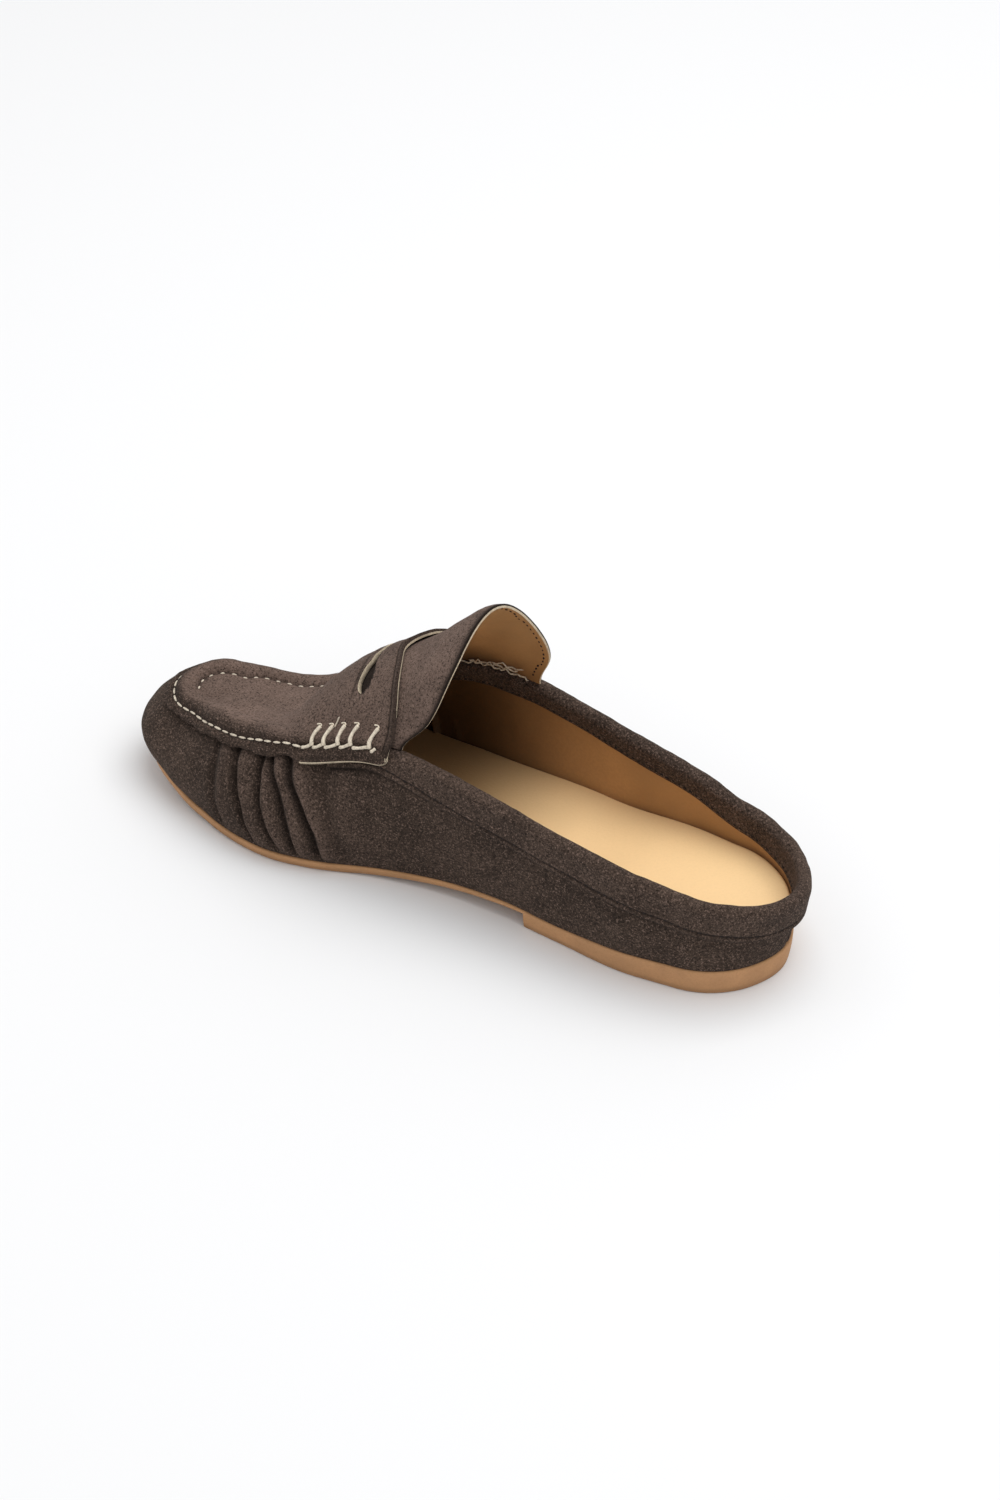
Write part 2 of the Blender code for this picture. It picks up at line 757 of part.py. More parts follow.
def roll_share(along):
    """Height of the roll: full round the toe, lower under the tab, none at the saddle's back edge."""
    tab = smooth(TAB_START, TAB_START + 0.06 * SHOE_LENGTH, along)
    rear = smooth(SADDLE_START, SADDLE_START + 0.03 * SHOE_LENGTH, along)
    return rear * (0.45 + 0.55 * tab)


def apron_lift(along, distance):
    """Clearance under the apron: the collar's skirt and padding pass beneath the tab."""
    proud = COLLAR_THICKNESS / 2 - WALL / 2
    past = COLLAR_END * SHOE_LENGTH + WALL
    over_collar = 1 - smooth(past, past + 6 * proud, along)
    beside_collar = 1 - smooth(0.3 * proud, 4 * proud, distance)
    return CURVED_GAP + proud * over_collar * beside_collar


def apron_rows(station):
    """Distance from the seam, and thickness there, from the lip to the crest."""
    roll = ROLL_HEIGHT * roll_share(station.at)
    lip = lip_width(station.at)
    rows = [(-lip, APRON_THICKNESS - STITCH_SINK), (-0.75 * lip, APRON_THICKNESS)]
    rows.append((-0.15 * lip, APRON_THICKNESS))
    rows.append((0.0, APRON_THICKNESS - STITCH_SINK))
    for share, height in ((0.12, 0.3), (0.28, 0.85), (0.5, 1.0), (0.72, 0.85), (0.9, 0.25)):
        rows.append((share * ROLL_WIDTH, APRON_THICKNESS + roll * height))
    rows.append((ROLL_WIDTH, APRON_THICKNESS - STITCH_SINK * roll_share(station.at)))
    span = station.arch_length[-1]
    for k in range(1, TOP_STEPS + 1):
        rows.append((ROLL_WIDTH + (span - ROLL_WIDTH) * k / TOP_STEPS, APRON_THICKNESS))
    return rows


def saddle_shift(along, over):
    """Place of an apron section drawn to the saddle's curved back edge, at a share over the arch."""
    if along >= TAB_START:
        return along
    shares = np.array([point.over for point in SADDLE_EDGE])
    places = np.array([point.at for point in SADDLE_EDGE])
    back = SHOE_LENGTH * spline(shares, places, over)
    return TAB_START - (TAB_START - back) * (TAB_START - along) / (TAB_START - SADDLE_START)


def apron_place(path, side, row):
    """Point of the last below one row of the apron, and how far the apron's two faces lie from it."""
    station = Station(path, side).with_arch()
    share = max(apron_rows(station)[row][0], 0.0) / station.arch_length[-1]
    if station.at < TAB_START:
        station = Station(path_of(saddle_shift(station.at, share)), side).with_arch()
    distance, thick = apron_rows(station)[row]
    lift = apron_lift(station.at, distance)
    return station.place(*station.from_rim(distance)), lift, lift + thick


def make_apron(material):
    """Overlay of the toe with its raised roll and lip, drawn out into the saddle and its two tabs."""
    bm = new_surface()
    first = path_of(SADDLE_START)
    paths = [first, first + 0.5 * LIP, first + LIP]
    paths += list(np.linspace(first + 2 * LIP, HALF_WAY, APRON_STEPS))
    for side in (INNER, OUTER):
        grid, under, over = [], [], []
        for path in paths:
            row_count = len(apron_rows(Station(path, side).with_arch()))
            places = [apron_place(path, side, row) for row in range(row_count)]
            grid.append([place[0] for place in places])
            under.append([place[1] for place in places])
            over.append([place[2] for place in places])
        add_grid(bm, grid, side, under, over)
    return new_object("apron", thicken(bm), material)


def slot_cutter():
    """Lens-shaped cutter that follows the saddle over the crest."""
    bm = new_surface()
    steps = 8
    for side in (INNER, OUTER):
        grid = []
        for k in range(steps + 1):
            share = SLOT_FROM + (1 - SLOT_FROM) * k / steps
            half = 0.5 * SLOT_WIDTH * math.sqrt(max(1 - (1 - k / steps) ** 2, 0.02))
            middle = (SLOT_FOOT + (SLOT_AT - SLOT_FOOT) * k / steps) * SHOE_LENGTH
            grid.append([arch_point(middle + half, side, share), arch_point(middle - half, side, share)])
        deep = [[-0.5 * TONGUE_THICKNESS] * 2 for _ in grid]
        high = [[3 * APRON_THICKNESS] * 2 for _ in grid]
        add_grid(bm, grid, side, deep, high)
    cutter = thicken(bm)
    bmesh.ops.recalc_face_normals(cutter, faces=cutter.faces[:])
    mesh = bpy.data.meshes.new("slot_cutter")
    cutter.to_mesh(mesh)
    cutter.free()
    obj = bpy.data.objects.new("slot_cutter", mesh)
    bpy.context.scene.collection.objects.link(obj)
    obj.hide_render = True
    obj.display_type = "WIRE"
    return obj


def cut_slot(apron):
    cutter = slot_cutter()
    modifier = apron.modifiers.new("slot", "BOOLEAN")
    modifier.operation = "DIFFERENCE"
    modifier.object = cutter
    return cutter


def centre_on_floor(objects, root):
    """Moves the shoe's parent so that the shoe stands over the origin."""
    corners = [vertex.co for obj in objects for vertex in obj.data.vertices]
    xs = [corner.x for corner in corners]
    ys = [corner.y for corner in corners]
    lowest = min(corner.z for corner in corners)
    root.location = (-(min(xs) + max(xs)) / 2, -(min(ys) + max(ys)) / 2, -lowest)


def clear_scene():
    for obj in list(bpy.data.objects):
        bpy.data.objects.remove(obj)


def main():
    clear_scene()
    root = bpy.data.objects.new("loafer_mule", None)
    bpy.context.scene.collection.objects.link(root)
    nap = suede()
    apron = make_apron(nap)
    pieces = [make_outsole(sole_rubber()), make_insole(smooth_leather()), make_upper(nap)]
    pieces += [make_collar(nap), make_tongue(nap), apron]
    cutter = cut_slot(apron)
    centre_on_floor(pieces, root)
    for obj in pieces + [cutter]:
        obj.parent = root


main()
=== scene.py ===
"""Looks of the loafer mule: suede, leather, rubber, stitches and a plain studio.

Metres, +Z up. The toe points to -X and the inner side of the foot is at -Y.
"""

import math
from collections import namedtuple

import bpy
import numpy as np
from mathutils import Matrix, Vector, noise
from mathutils.bvhtree import BVHTree


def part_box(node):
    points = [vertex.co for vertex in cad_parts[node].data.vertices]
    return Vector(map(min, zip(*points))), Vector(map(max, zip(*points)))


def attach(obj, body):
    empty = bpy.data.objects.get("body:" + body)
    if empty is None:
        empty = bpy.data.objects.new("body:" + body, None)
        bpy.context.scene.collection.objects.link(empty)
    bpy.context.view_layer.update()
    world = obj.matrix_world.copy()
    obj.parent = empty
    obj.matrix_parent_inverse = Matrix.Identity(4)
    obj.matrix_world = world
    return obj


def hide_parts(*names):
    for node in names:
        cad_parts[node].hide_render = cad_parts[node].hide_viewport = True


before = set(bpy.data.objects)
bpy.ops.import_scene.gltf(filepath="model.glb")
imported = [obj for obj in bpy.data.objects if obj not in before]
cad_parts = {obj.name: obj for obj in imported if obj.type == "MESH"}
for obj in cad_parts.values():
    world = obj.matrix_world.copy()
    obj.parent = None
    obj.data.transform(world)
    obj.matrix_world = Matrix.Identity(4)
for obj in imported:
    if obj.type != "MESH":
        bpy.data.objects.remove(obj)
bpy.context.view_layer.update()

bl_info = {
    "name": "Loafer Mule",
    "version": (1, 0, 0),
    "blender": (4, 5, 0),
    "location": "View3D > Sidebar > Loafer",
    "description": "Dresses the packed loafer mule with suede, leather, stitches and a studio",
    "category": "Add Mesh",
}

# Sizes of the last
SHOE_LENGTH = 0.258
BALL_WIDTH = 0.0865
HEEL_WIDTH = 0.059
BACK_HEIGHT = 0.0336
INSTEP_HEIGHT = 0.0805
TOE_HEIGHT = 0.0305

# Sole and footbed
HEEL_HEIGHT = 0.006
HEEL_LENGTH = 0.090
SOLE_EDGE = 0.0042
TOE_SPRING = 0.0065
SOLE_TUCK = 0.0008
SOLE_ROUND = 0.0007
SOLE_SWELL = 0.0002
FOOTBED = 0.0043
FOOTBED_LIFT = 0.0078

# Upper, collar, tongue and apron
WALL = 0.002
LEDGE = 0.0006
GAP = 0.0003
CURVED_GAP = 0.0006
COLLAR_THICKNESS = 0.0062
COLLAR_EDGE = 0.0014
COLLAR_SKIRT_OUT = 0.0115
COLLAR_SKIRT_IN = 0.0085
TONGUE_THICKNESS = 0.0018
APRON_THICKNESS = 0.0018
LIP = 0.0034
TAB_LIP = 0.0030
ROLL_WIDTH = 0.0095
SLOT_WIDTH = 0.0052
TAB_CORNER = 0.0050

# Lines pressed or stitched into the leather: how far each lies from its edge, and how deep
COLLAR_ROW_OUT = 0.0026
COLLAR_ROW_IN = 0.0016
TONGUE_ROW = 0.0026
SADDLE_LINE = 0.0018
TAB_LINE = 0.0019
BEAD_PITCH = 0.0042
BACK_SEAM_DEPTH = 0.0006
CHANNEL_DEPTH = 0.0006
INNER_CHANNEL_DEPTH = 0.0008
SLOT_LINE_DEPTH = 0.00035
TONGUE_LINE_DEPTH = 0.00035

# Sections round the last, from the back of the heel to the tip of the toe
Section = namedtuple(
    "Section", "at turn sway inner outer in_set out_set in_top out_top in_lean out_lean flare"
)

# Widths in shares of HEEL_WIDTH, heights in shares of BACK_HEIGHT, all round one point
HEEL_SECTIONS = (
    (0.0, 0, 0.008, 0.508, 0.508, -0.062, -0.062, 1.05, 1.05, 97, 97, 0.025),
    (0.0, 30, 0.008, 0.490, 0.490, -0.040, -0.030, 1.09, 1.04, 96, 96, 0.020),
    (0.0, 60, 0.008, 0.486, 0.486, -0.012, 0.010, 1.16, 1.07, 94, 92, 0.020),
    (0.0, 90, 0.008, 0.500, 0.500, 0.000, 0.020, 1.23, 1.14, 92, 90, 0.025),
)

# Places between the heel's point and the toe's, widths of BALL_WIDTH, heights of INSTEP_HEIGHT
MIDDLE_SECTIONS = (
    (0.104, 90, -0.002, 0.369, 0.369, 0.000, 0.008, 0.550, 0.525, 90, 89, 0.02),
    (0.234, 90, -0.032, 0.372, 0.372, 0.000, 0.003, 0.580, 0.565, 90, 86, 0.02),
    (0.365, 90, -0.060, 0.373, 0.373, -0.007, -0.003, 0.628, 0.612, 90, 79, 0.03),
    (0.495, 90, -0.080, 0.392, 0.392, -0.005, 0.015, 0.695, 0.650, 85, 74, 0.03),
    (0.625, 90, -0.080, 0.437, 0.437, 0.060, 0.075, 0.690, 0.650, 68, 65, 0.03),
    (0.755, 90, -0.043, 0.489, 0.489, 0.145, 0.145, 0.580, 0.500, 52, 48, 0.035),
    (0.823, 90, -0.025, 0.495, 0.495, 0.150, 0.150, 0.535, 0.415, 38, 33, 0.04),
    (0.885, 90, -0.016, 0.477, 0.477, 0.155, 0.150, 0.500, 0.345, 28, 25, 0.04),
    (0.948, 90, -0.010, 0.442, 0.442, 0.142, 0.145, 0.475, 0.318, 25, 25, 0.045),
)

# Widths in shares of BALL_WIDTH, heights in shares of TOE_HEIGHT, all round one point
TOE_SECTIONS = (
    (1.0, 90, -0.004, 0.399, 0.401, 0.140, 0.140, 1.18, 0.90, 22, 25, 0.060),
    (1.0, 120, -0.004, 0.372, 0.352, 0.132, 0.130, 1.10, 1.02, 18, 20, 0.085),
    (1.0, 150, -0.004, 0.410, 0.366, 0.118, 0.110, 1.07, 1.09, 15, 18, 0.110),
    (1.0, 180, -0.004, 0.413, 0.413, 0.112, 0.112, 1.07, 1.07, 15, 15, 0.115),
)

# Tables of the place in shares of SHOE_LENGTH, with a share of the size that each is used with
CREST = (
    (0.39, 1.51),
    (0.43, 1.42),
    (0.473, 1.34),
    (0.523, 1.20),
    (0.566, 1.055),
    (0.612, 0.945),
    (0.660, 0.83),
    (0.713, 0.665),
    (0.756, 0.475),
    (0.795, 0.430),
    (0.86, 0.440),
)
EDGE = (
    (0.0, 1.12),
    (0.213, 0.81),
    (0.302, 0.43),
    (0.388, 0.64),
    (0.484, 0.76),
    (0.58, 0.90),
    (0.66, 1.0),
    (0.80, 1.05),
    (1.0, 1.19),
)
FOOTBED_RISE = ((0.0, 1.0), (0.078, 1.0), (0.35, 0.46), (0.58, 0.12), (0.72, 0.0), (1.0, -0.05))

# Back edge of the saddle: share of the way from the seam over to the crest, and place
SADDLE_EDGE = ((0.0, 0.555), (0.22, 0.556), (0.45, 0.567), (0.7, 0.583), (1.0, 0.600))

# Free edge of the tongue, from the inner side (-1) over the crest to the outer side (1), and place
TONGUE_EDGE = (
    (-1.0, 0.545),
    (-0.75, 0.510),
    (-0.4, 0.490),
    (0.0, 0.476),
    (0.35, 0.451),
    (0.7, 0.432),
    (1.0, 0.458),
)

# Creases of the wall below the apron: height and width in shares of the fold's, then the five ways
# where a ridge lies, at the seam, at three quarters, half and a quarter of the wall's height and at
# the sole, in shares of the way from heel to toe
FOLD_HEIGHT = 0.0017
FOLD_WIDTH = 0.0026
PLEATS = (
    (0.55, 1.3, 0.786, 0.783, 0.780, 0.773, 0.764),
    (0.95, 1.1, 0.759, 0.750, 0.741, 0.730, 0.712),
    (1.00, 1.0, 0.722, 0.715, 0.706, 0.695, 0.680),
    (1.05, 1.0, 0.710, 0.693, 0.676, 0.664, 0.655),
    (1.20, 1.1, 0.684, 0.669, 0.650, 0.634, 0.625),
    (0.30, 2.2, 0.622, 0.615, 0.608, 0.596, 0.584),
)

# Places along the shoe where the pieces end
BALL_START = 0.64 * SHOE_LENGTH
BALL_END = 0.756 * SHOE_LENGTH
THROAT_ROW = 9
TAB_FRONT = 0.69 * SHOE_LENGTH
SADDLE_BACK = SADDLE_EDGE[0][1] * SHOE_LENGTH
COLLAR_TAPER = 0.44 * SHOE_LENGTH
COLLAR_END = 0.65 * SHOE_LENGTH
SLOT_AT = 0.640 * SHOE_LENGTH
SLOT_FOOT = 0.625 * SHOE_LENGTH
SLOT_FROM = 0.50

# Bound stitches of the tab: place in shares of SHOE_LENGTH, and how far each leans to the toe
WHIPS = ((0.6765, 0.0), (0.6550, 0.3), (0.6310, 0.9), (0.6110, 0.6), (0.5815, -0.2))
WHIP_RISE = 0.0067
WHIP_RADIUS = 0.00070
CHAIN_RADIUS = 0.00060
LOOSE_RADIUS = 0.00026
FRAYED_RADIUS = 0.00030

CURVE_STEPS = 48
CURVE_QUARTER = np.radians((0, 30, 60, 90))
INNER, OUTER = 1, -1
WELD = 0.000002

# Camera of the photograph: heading and height in degrees, distance and aim in metres
CAMERA_HEADING = 28.75
CAMERA_HEIGHT = 40.0
CAMERA_DISTANCE = 1.1393
CAMERA_AIM = (-0.0155, 0.0547, 0.0)
CAMERA_LENS = 72.0


class ShoeSizes(bpy.types.PropertyGroup):
    """Sizes of what is worked into the shoe."""

    roll_height: bpy.props.FloatProperty(
        name="Roll Height",
        description="Height of the padded roll round the apron",
        default=0.0026,
        min=0.0,
        unit="LENGTH",
    )
    stitch_pitch: bpy.props.FloatProperty(
        name="Stitch Pitch",
        description="Distance between the stitches round the apron",
        default=0.0041,
        min=0.001,
        unit="LENGTH",
    )
    stitch_length: bpy.props.FloatProperty(
        name="Stitch Length",
        description="Length of thread that shows at each stitch",
        default=0.0037,
        min=0.0005,
        unit="LENGTH",
    )
    thread_width: bpy.props.FloatProperty(
        name="Thread Width",
        description="Width of the thread round the apron",
        default=0.00095,
        min=0.0001,
        unit="LENGTH",
    )
    hole_pitch: bpy.props.FloatProperty(
        name="Hole Pitch",
        description="Distance between the small stitches of the collar and the tongue",
        default=0.0025,
        min=0.001,
        unit="LENGTH",
    )
    fold_strength: bpy.props.FloatProperty(
        name="Fold Strength",
        description="How deep the creases of the vamp are, as a share of their own height",
        default=1.0,
        min=0.0,
        max=2.0,
        subtype="FACTOR",
    )


def colour_property(name, description, default):
    """A colour that the panel lists."""
    return bpy.props.FloatVectorProperty(
        name=name, description=description, default=default, min=0.0, max=1.0, subtype="COLOR"
    )


class ShoeColours(bpy.types.PropertyGroup):
    """Colours of the shoe's materials."""

    suede: colour_property("Suede", "Colour of the suede's nap", (0.060, 0.041, 0.031))
    # The brushed colour also paints the highlight on the ridges of the vamp's creases.
    brushed_suede: colour_property(
        "Brushed Suede", "Colour of the suede where its nap is brushed flat", (0.205, 0.140, 0.112)
    )
    lining: colour_property("Lining", "Colour of the leather lining", (0.50, 0.275, 0.115))
    footbed: colour_property("Footbed", "Colour of the leather footbed", (0.93, 0.64, 0.33))
    rubber: colour_property("Rubber", "Colour of the moulded sole", (0.50, 0.265, 0.122))
    thread: colour_property("Thread", "Colour of the cream thread", (0.78, 0.68, 0.54))
    raw_edge: colour_property("Raw Edge", "Colour of the leather's cut edges", (0.66, 0.55, 0.40))


def sizes():
    return bpy.context.scene.shoe_sizes


# The last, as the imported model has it


def spline(knots, values, x):
    """Value at x of the smooth curve through the points, level outside them."""
    if x <= knots[0]:
        return values[0]
    if x >= knots[-1]:
        return values[-1]
    i = int(np.searchsorted(knots, x)) - 1

    def slope(k):
        if k == 0 or k == len(knots) - 1:
            return 0.0
        before = knots[k] - knots[k - 1]
        after = knots[k + 1] - knots[k]
        rise_before = (values[k] - values[k - 1]) / before
        rise_after = (values[k + 1] - values[k]) / after
        return (after * rise_before + before * rise_after) / (before + after)

    step = knots[i + 1] - knots[i]
    s = (x - knots[i]) / step
    start = (1 + 2 * s) * (1 - s) ** 2 * values[i] + s * (1 - s) ** 2 * step * slope(i)
    end = s * s * (3 - 2 * s) * values[i + 1] + s * s * (s - 1) * step * slope(i + 1)
    return start + end


def table_curve(rows, scale, across=SHOE_LENGTH):
    """The smooth curve of a table's second column times scale over its first times across."""
    knots = [row[0] * across for row in rows]
    values = [row[1] * scale for row in rows]
    return lambda x: spline(knots, values, x)


def smooth(low, high, x):
    """Rises from 0 at low to 1 at high."""
    t = np.clip((np.asarray(x, float) - low) / (high - low), 0.0, 1.0)
    return t * t * (3 - 2 * t)


def bell(x, middle, width):
    """1 at the middle, falling to 0 on both sides."""
    return np.exp(-(((x - middle) / width) ** 2))


def unit(vectors, axis=-1):
    """The vectors with their length made one."""
    return vectors / np.maximum(np.linalg.norm(vectors, axis=axis, keepdims=True), 1e-12)


sole_edge = table_curve(EDGE, SOLE_EDGE)
crest_height = table_curve(CREST, INSTEP_HEIGHT)
footbed_lift = table_curve(FOOTBED_RISE, FOOTBED_LIFT)
saddle_edge = table_curve(SADDLE_EDGE, SHOE_LENGTH, 1.0)
tongue_edge = table_curve(TONGUE_EDGE, SHOE_LENGTH, 1.0)


def metres(row, width, height, along):
    """A section's shares as metres and radians, at its place along the shoe."""
    degree = math.pi / 180
    scales = (0, degree, *[width] * 5, height, height, degree, degree, width)
    return Section(*(share * scale for share, scale in zip(row, scales)))._replace(at=along)


def all_sections():
    heel_point = HEEL_SECTIONS[0][3] * HEEL_WIDTH
    toe_point = SHOE_LENGTH - TOE_SECTIONS[-1][3] * BALL_WIDTH
    rows = [metres(row, HEEL_WIDTH, BACK_HEIGHT, heel_point) for row in HEEL_SECTIONS]
    for row in MIDDLE_SECTIONS:
        along = heel_point + row[0] * (toe_point - heel_point)
        rows.append(metres(row, BALL_WIDTH, INSTEP_HEIGHT, along))
    return rows + [metres(row, BALL_WIDTH, TOE_HEIGHT, toe_point) for row in TOE_SECTIONS]


SECTIONS = all_sections()


def path_knots():
    """How far round the shoe each section lies from the back of the heel."""
    knots = [0.0]
    for near, far in zip(SECTIONS[:-1], SECTIONS[1:]):
        reach = (near.inner + near.outer + far.inner + far.outer) / 4
        knots.append(knots[-1] + math.hypot(far.at - near.at, (far.turn - near.turn) * reach))
    return knots


PATH = np.array(path_knots())
HALF_WAY = PATH[-1]
HEEL_POINT = SECTIONS[0].at
TOE_POINT = SECTIONS[-1].at
HEEL_PATH = PATH[len(HEEL_SECTIONS) - 1]
THROAT_PATH = PATH[THROAT_ROW]
THROAT = SECTIONS[THROAT_ROW].at
SWAY = ([row.at for row in SECTIONS[3:-3]], [row.sway for row in SECTIONS[3:-3]])
PLACES = [row.at for row in SECTIONS]
TURNS = [row.turn for row in SECTIONS]


def round_the_shoe(inner_column, outer_column):
    """Knots and values once round the shoe and a little past the heel on each side."""
    inner = [getattr(row, inner_column) for row in SECTIONS]
    outer = [getattr(row, outer_column) for row in SECTIONS]
    knots = np.concatenate([PATH, 2 * HALF_WAY - PATH[-2::-1]])
    values = np.array(inner + outer[-2::-1])
    turn = 2 * HALF_WAY
    knots = np.concatenate([knots[-3:-1] - turn, knots, knots[1:3] + turn])
    values = np.concatenate([values[-3:-1], values, values[1:3]])
    return knots.tolist(), values.tolist()


REACH = round_the_shoe("inner", "outer")
INSET = round_the_shoe("in_set", "out_set")
TOP = round_the_shoe("in_top", "out_top")
LEAN = round_the_shoe("in_lean", "out_lean")
FLARE = round_the_shoe("flare", "flare")


def sole_bottom(along):
    """Height of the sole's underside: heel, arch, flat ball and toe spring."""
    if along <= HEEL_LENGTH:
        return HEEL_HEIGHT
    if along < BALL_START:
        t = (along - HEEL_LENGTH) / (BALL_START - HEEL_LENGTH)
        return HEEL_HEIGHT * (1 - t) ** 1.6 * (1 + 1.2 * t)
    if along < BALL_END:
        return 0.0
    return TOE_SPRING * ((along - BALL_END) / (SHOE_LENGTH - BALL_END)) ** 2


def sole_top(along):
    along = min(max(along, 0.0), SHOE_LENGTH)
    return sole_bottom(along) + sole_edge(along)


def footbed_top(along):
    along = min(max(along, 0.0), SHOE_LENGTH)
    return sole_top(along) + GAP + FOOTBED + footbed_lift(along)


def bezier(points):
    """Points of a cubic curve through reach and height, evenly spaced by its own parameter."""
    a, b, c, d = (np.array(point) for point in points)
    t = np.linspace(0, 1, CURVE_STEPS + 1)[:, None]
    return (1 - t) ** 3 * a + 3 * t * (1 - t) ** 2 * b + 3 * t * t * (1 - t) * c + t**3 * d


def lengths(curve):
    steps = np.hypot(*np.diff(curve, axis=0).T)
    return np.concatenate([[0.0], np.cumsum(steps)])


def path_of(along):
    """Way round the shoe to a section that stands straight across."""
    return HEEL_PATH + along - HEEL_POINT


def tilt(along):
    """Slope across the crest, from the heights of the two rims."""
    path = path_of(min(along, TOE_POINT))
    other = 2 * HALF_WAY - path
    span = spline(*REACH, path) + spline(*REACH, other)
    span -= spline(*INSET, path) + spline(*INSET, other)
    return (spline(*TOP, path) - spline(*TOP, other)) / span


class Station:
    """One section of the last on one side. way runs from the heel, to the toe's tip at half way,
    and is negative on the outer side."""

    def __init__(self, way):
        self.way = way
        self.path = abs(way)
        self.side = INNER if way >= 0 else OUTER
        loop = self.path if self.side == INNER else 2 * HALF_WAY - self.path
        self.at = float(np.interp(self.path, PATH, PLACES))
        self.turn = float(np.interp(self.path, PATH, TURNS))
        self.sway = spline(*SWAY, self.at)
        self.reach = spline(*REACH, loop)
        self.inset = spline(*INSET, loop)
        self.top = spline(*TOP, loop)
        self.lean = spline(*LEAN, loop)
        self.flare = spline(*FLARE, loop)
        self.wall = self.wall_curve()
        self.wall_length = lengths(self.wall)
        self.arch = None

    def along_at(self, reach):
        return self.at - reach * math.cos(self.turn)

    def places(self, reach, height):
        """World points for arrays of reach and height."""
        reach = np.asarray(reach, float)
        across = self.sway + self.side * reach * math.sin(self.turn)
        height = np.broadcast_to(np.asarray(height, float), reach.shape)
        return np.stack([SHOE_LENGTH / 2 - self.along_at(reach), -across, height], axis=-1) + OFFSET

    def edge(self):
        """Where the upper meets the sole, as reach and height."""
        reach = self.reach - LEDGE
        return reach, sole_top(self.along_at(reach)) + GAP

    def rim(self):
        return self.reach - self.inset, self.top

    def wall_curve(self):
        reach, low = self.edge()
        rim_reach, high = self.rim()
        rise = high - low
        handle = 0.38 * math.hypot(rise, self.inset + self.flare)
        out = rim_reach + handle * math.cos(self.lean)
        down = high - handle * math.sin(self.lean)
        middle = (reach + self.flare, low + 0.35 * rise)
        return bezier(((reach, low), middle, (out, down), (rim_reach, high)))

    def arch_curve(self):
        """From the rim over to the middle of the section, at the height of the crest."""
        rim_reach, low = self.rim()
        crest = crest_height(self.at)
        step = 0.002
        fore_slope = (crest - crest_height(self.at - step)) / step
        slope = self.side * tilt(self.at) * math.sin(self.turn) - fore_slope * math.cos(self.turn)
        start = 0.35 * math.hypot(rim_reach, 1.2 * (crest - low))
        inward = (rim_reach - start * math.cos(self.lean), low + start * math.sin(self.lean))
        back = 0.45 * rim_reach
        return bezier(((rim_reach, low), inward, (back, crest + back * slope), (0.0, crest)))

    def with_arch(self):
        if self.arch is None:
            self.arch = self.arch_curve()
            self.arch_length = lengths(self.arch)
            self.span = self.arch_length[-1]
        return self

    def down_wall(self, distance):
        """Reach and height at distances along the wall from the sole up."""
        return [np.interp(distance, self.wall_length, axis) for axis in self.wall.T]

    def on_wall(self, shares):
        """World points at shares of the wall's length, from the sole up."""
        return self.places(*self.down_wall(np.asarray(shares) * self.wall_length[-1]))

    def from_rim(self, distance):
        """Reach and height at distances from the rim: down the wall where they are negative."""
        distance = np.asarray(distance, float)
        found = self.down_wall(self.wall_length[-1] + np.minimum(distance, 0.0))
        over = distance > 0
        if np.any(over):
            self.with_arch()
            for k, axis in enumerate(self.arch.T):
                found[k] = np.where(over, np.interp(distance, self.arch_length, axis), found[k])
        return found

    def over_rim(self, distance):
        return self.places(*self.from_rim(distance))

    def reach_inside(self, height, clearance):
        """Reach at a height of a line inside the wall's inner face."""
        along = unit(np.gradient(self.wall, axis=0))
        inner = self.wall + (WALL + clearance) * np.column_stack([-along[:, 1], along[:, 0]])
        return float(np.interp(height, inner[:, 1], inner[:, 0]))


def shoe_offset():
    """From the last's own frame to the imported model's, by the outsole's box."""
    low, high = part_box("outsole")
    across = []
    for path in np.linspace(0, HALF_WAY, 200):
        for station in (Station(path), Station(-path)):
            across.append(-(station.sway + station.side * station.reach * math.sin(station.turn)))
    middle = (low + high) / 2
    return np.array([middle.x, middle.y - (min(across) + max(across)) / 2, 0.0])


OFFSET = shoe_offset()


# Surfaces


def grid_faces(rows, columns, closed=False, tube=False):
    """Corner numbers of a grid's faces, facing out when rows run round the shoe and columns up."""
    i = np.arange(rows if closed else rows - 1)
    j = np.arange(columns if tube else columns - 1)
    i, j = (axis.ravel() for axis in np.meshgrid(i, j, indexing="ij"))
    near, far = i * columns, (i + 1) % rows * columns
    above = (j + 1) % columns
    return np.stack([near + j, near + above, far + above, far + j], axis=-1)


def sewn(points, faces):
    """Numbers of the points that stay when doubles are made one, where each went, and the faces."""
    keys = np.round(points / WELD).astype(np.int64)
    _, first, index = np.unique(keys, axis=0, return_index=True, return_inverse=True)
    index = index.reshape(-1)
    return first, index, index[faces]


def point_normals(points, faces):
    corners = points[faces]
    cross = np.cross(corners[:, 2] - corners[:, 0], corners[:, 3] - corners[:, 1])
    normals = np.zeros_like(points)
    for corner in range(4):
        np.add.at(normals, faces[:, corner], cross)
    return unit(normals)


def plain_faces(faces):
    """Faces as lists without the repeated corners of a pole, and the numbers of those kept."""
    repeated = (faces == np.roll(faces, -1, axis=1)).any(axis=1)
    result = faces[~repeated].tolist()
    kept = np.flatnonzero(~repeated).tolist()
    for number in np.flatnonzero(repeated):
        corners = list(dict.fromkeys(faces[number].tolist()))
        if len(corners) > 2:
            result.append(corners)
            kept.append(int(number))
    return result, kept


def open_edges(faces):
    """Directed edges that only one face has."""
    starts = faces.ravel()
    ends = np.roll(faces, -1, axis=1).ravel()
    real = starts != ends
    starts, ends = starts[real], ends[real]
    count = int(faces.max()) + 1
    lone = ~np.isin(starts * count + ends, ends * count + starts)
    return starts[lone], ends[lone]


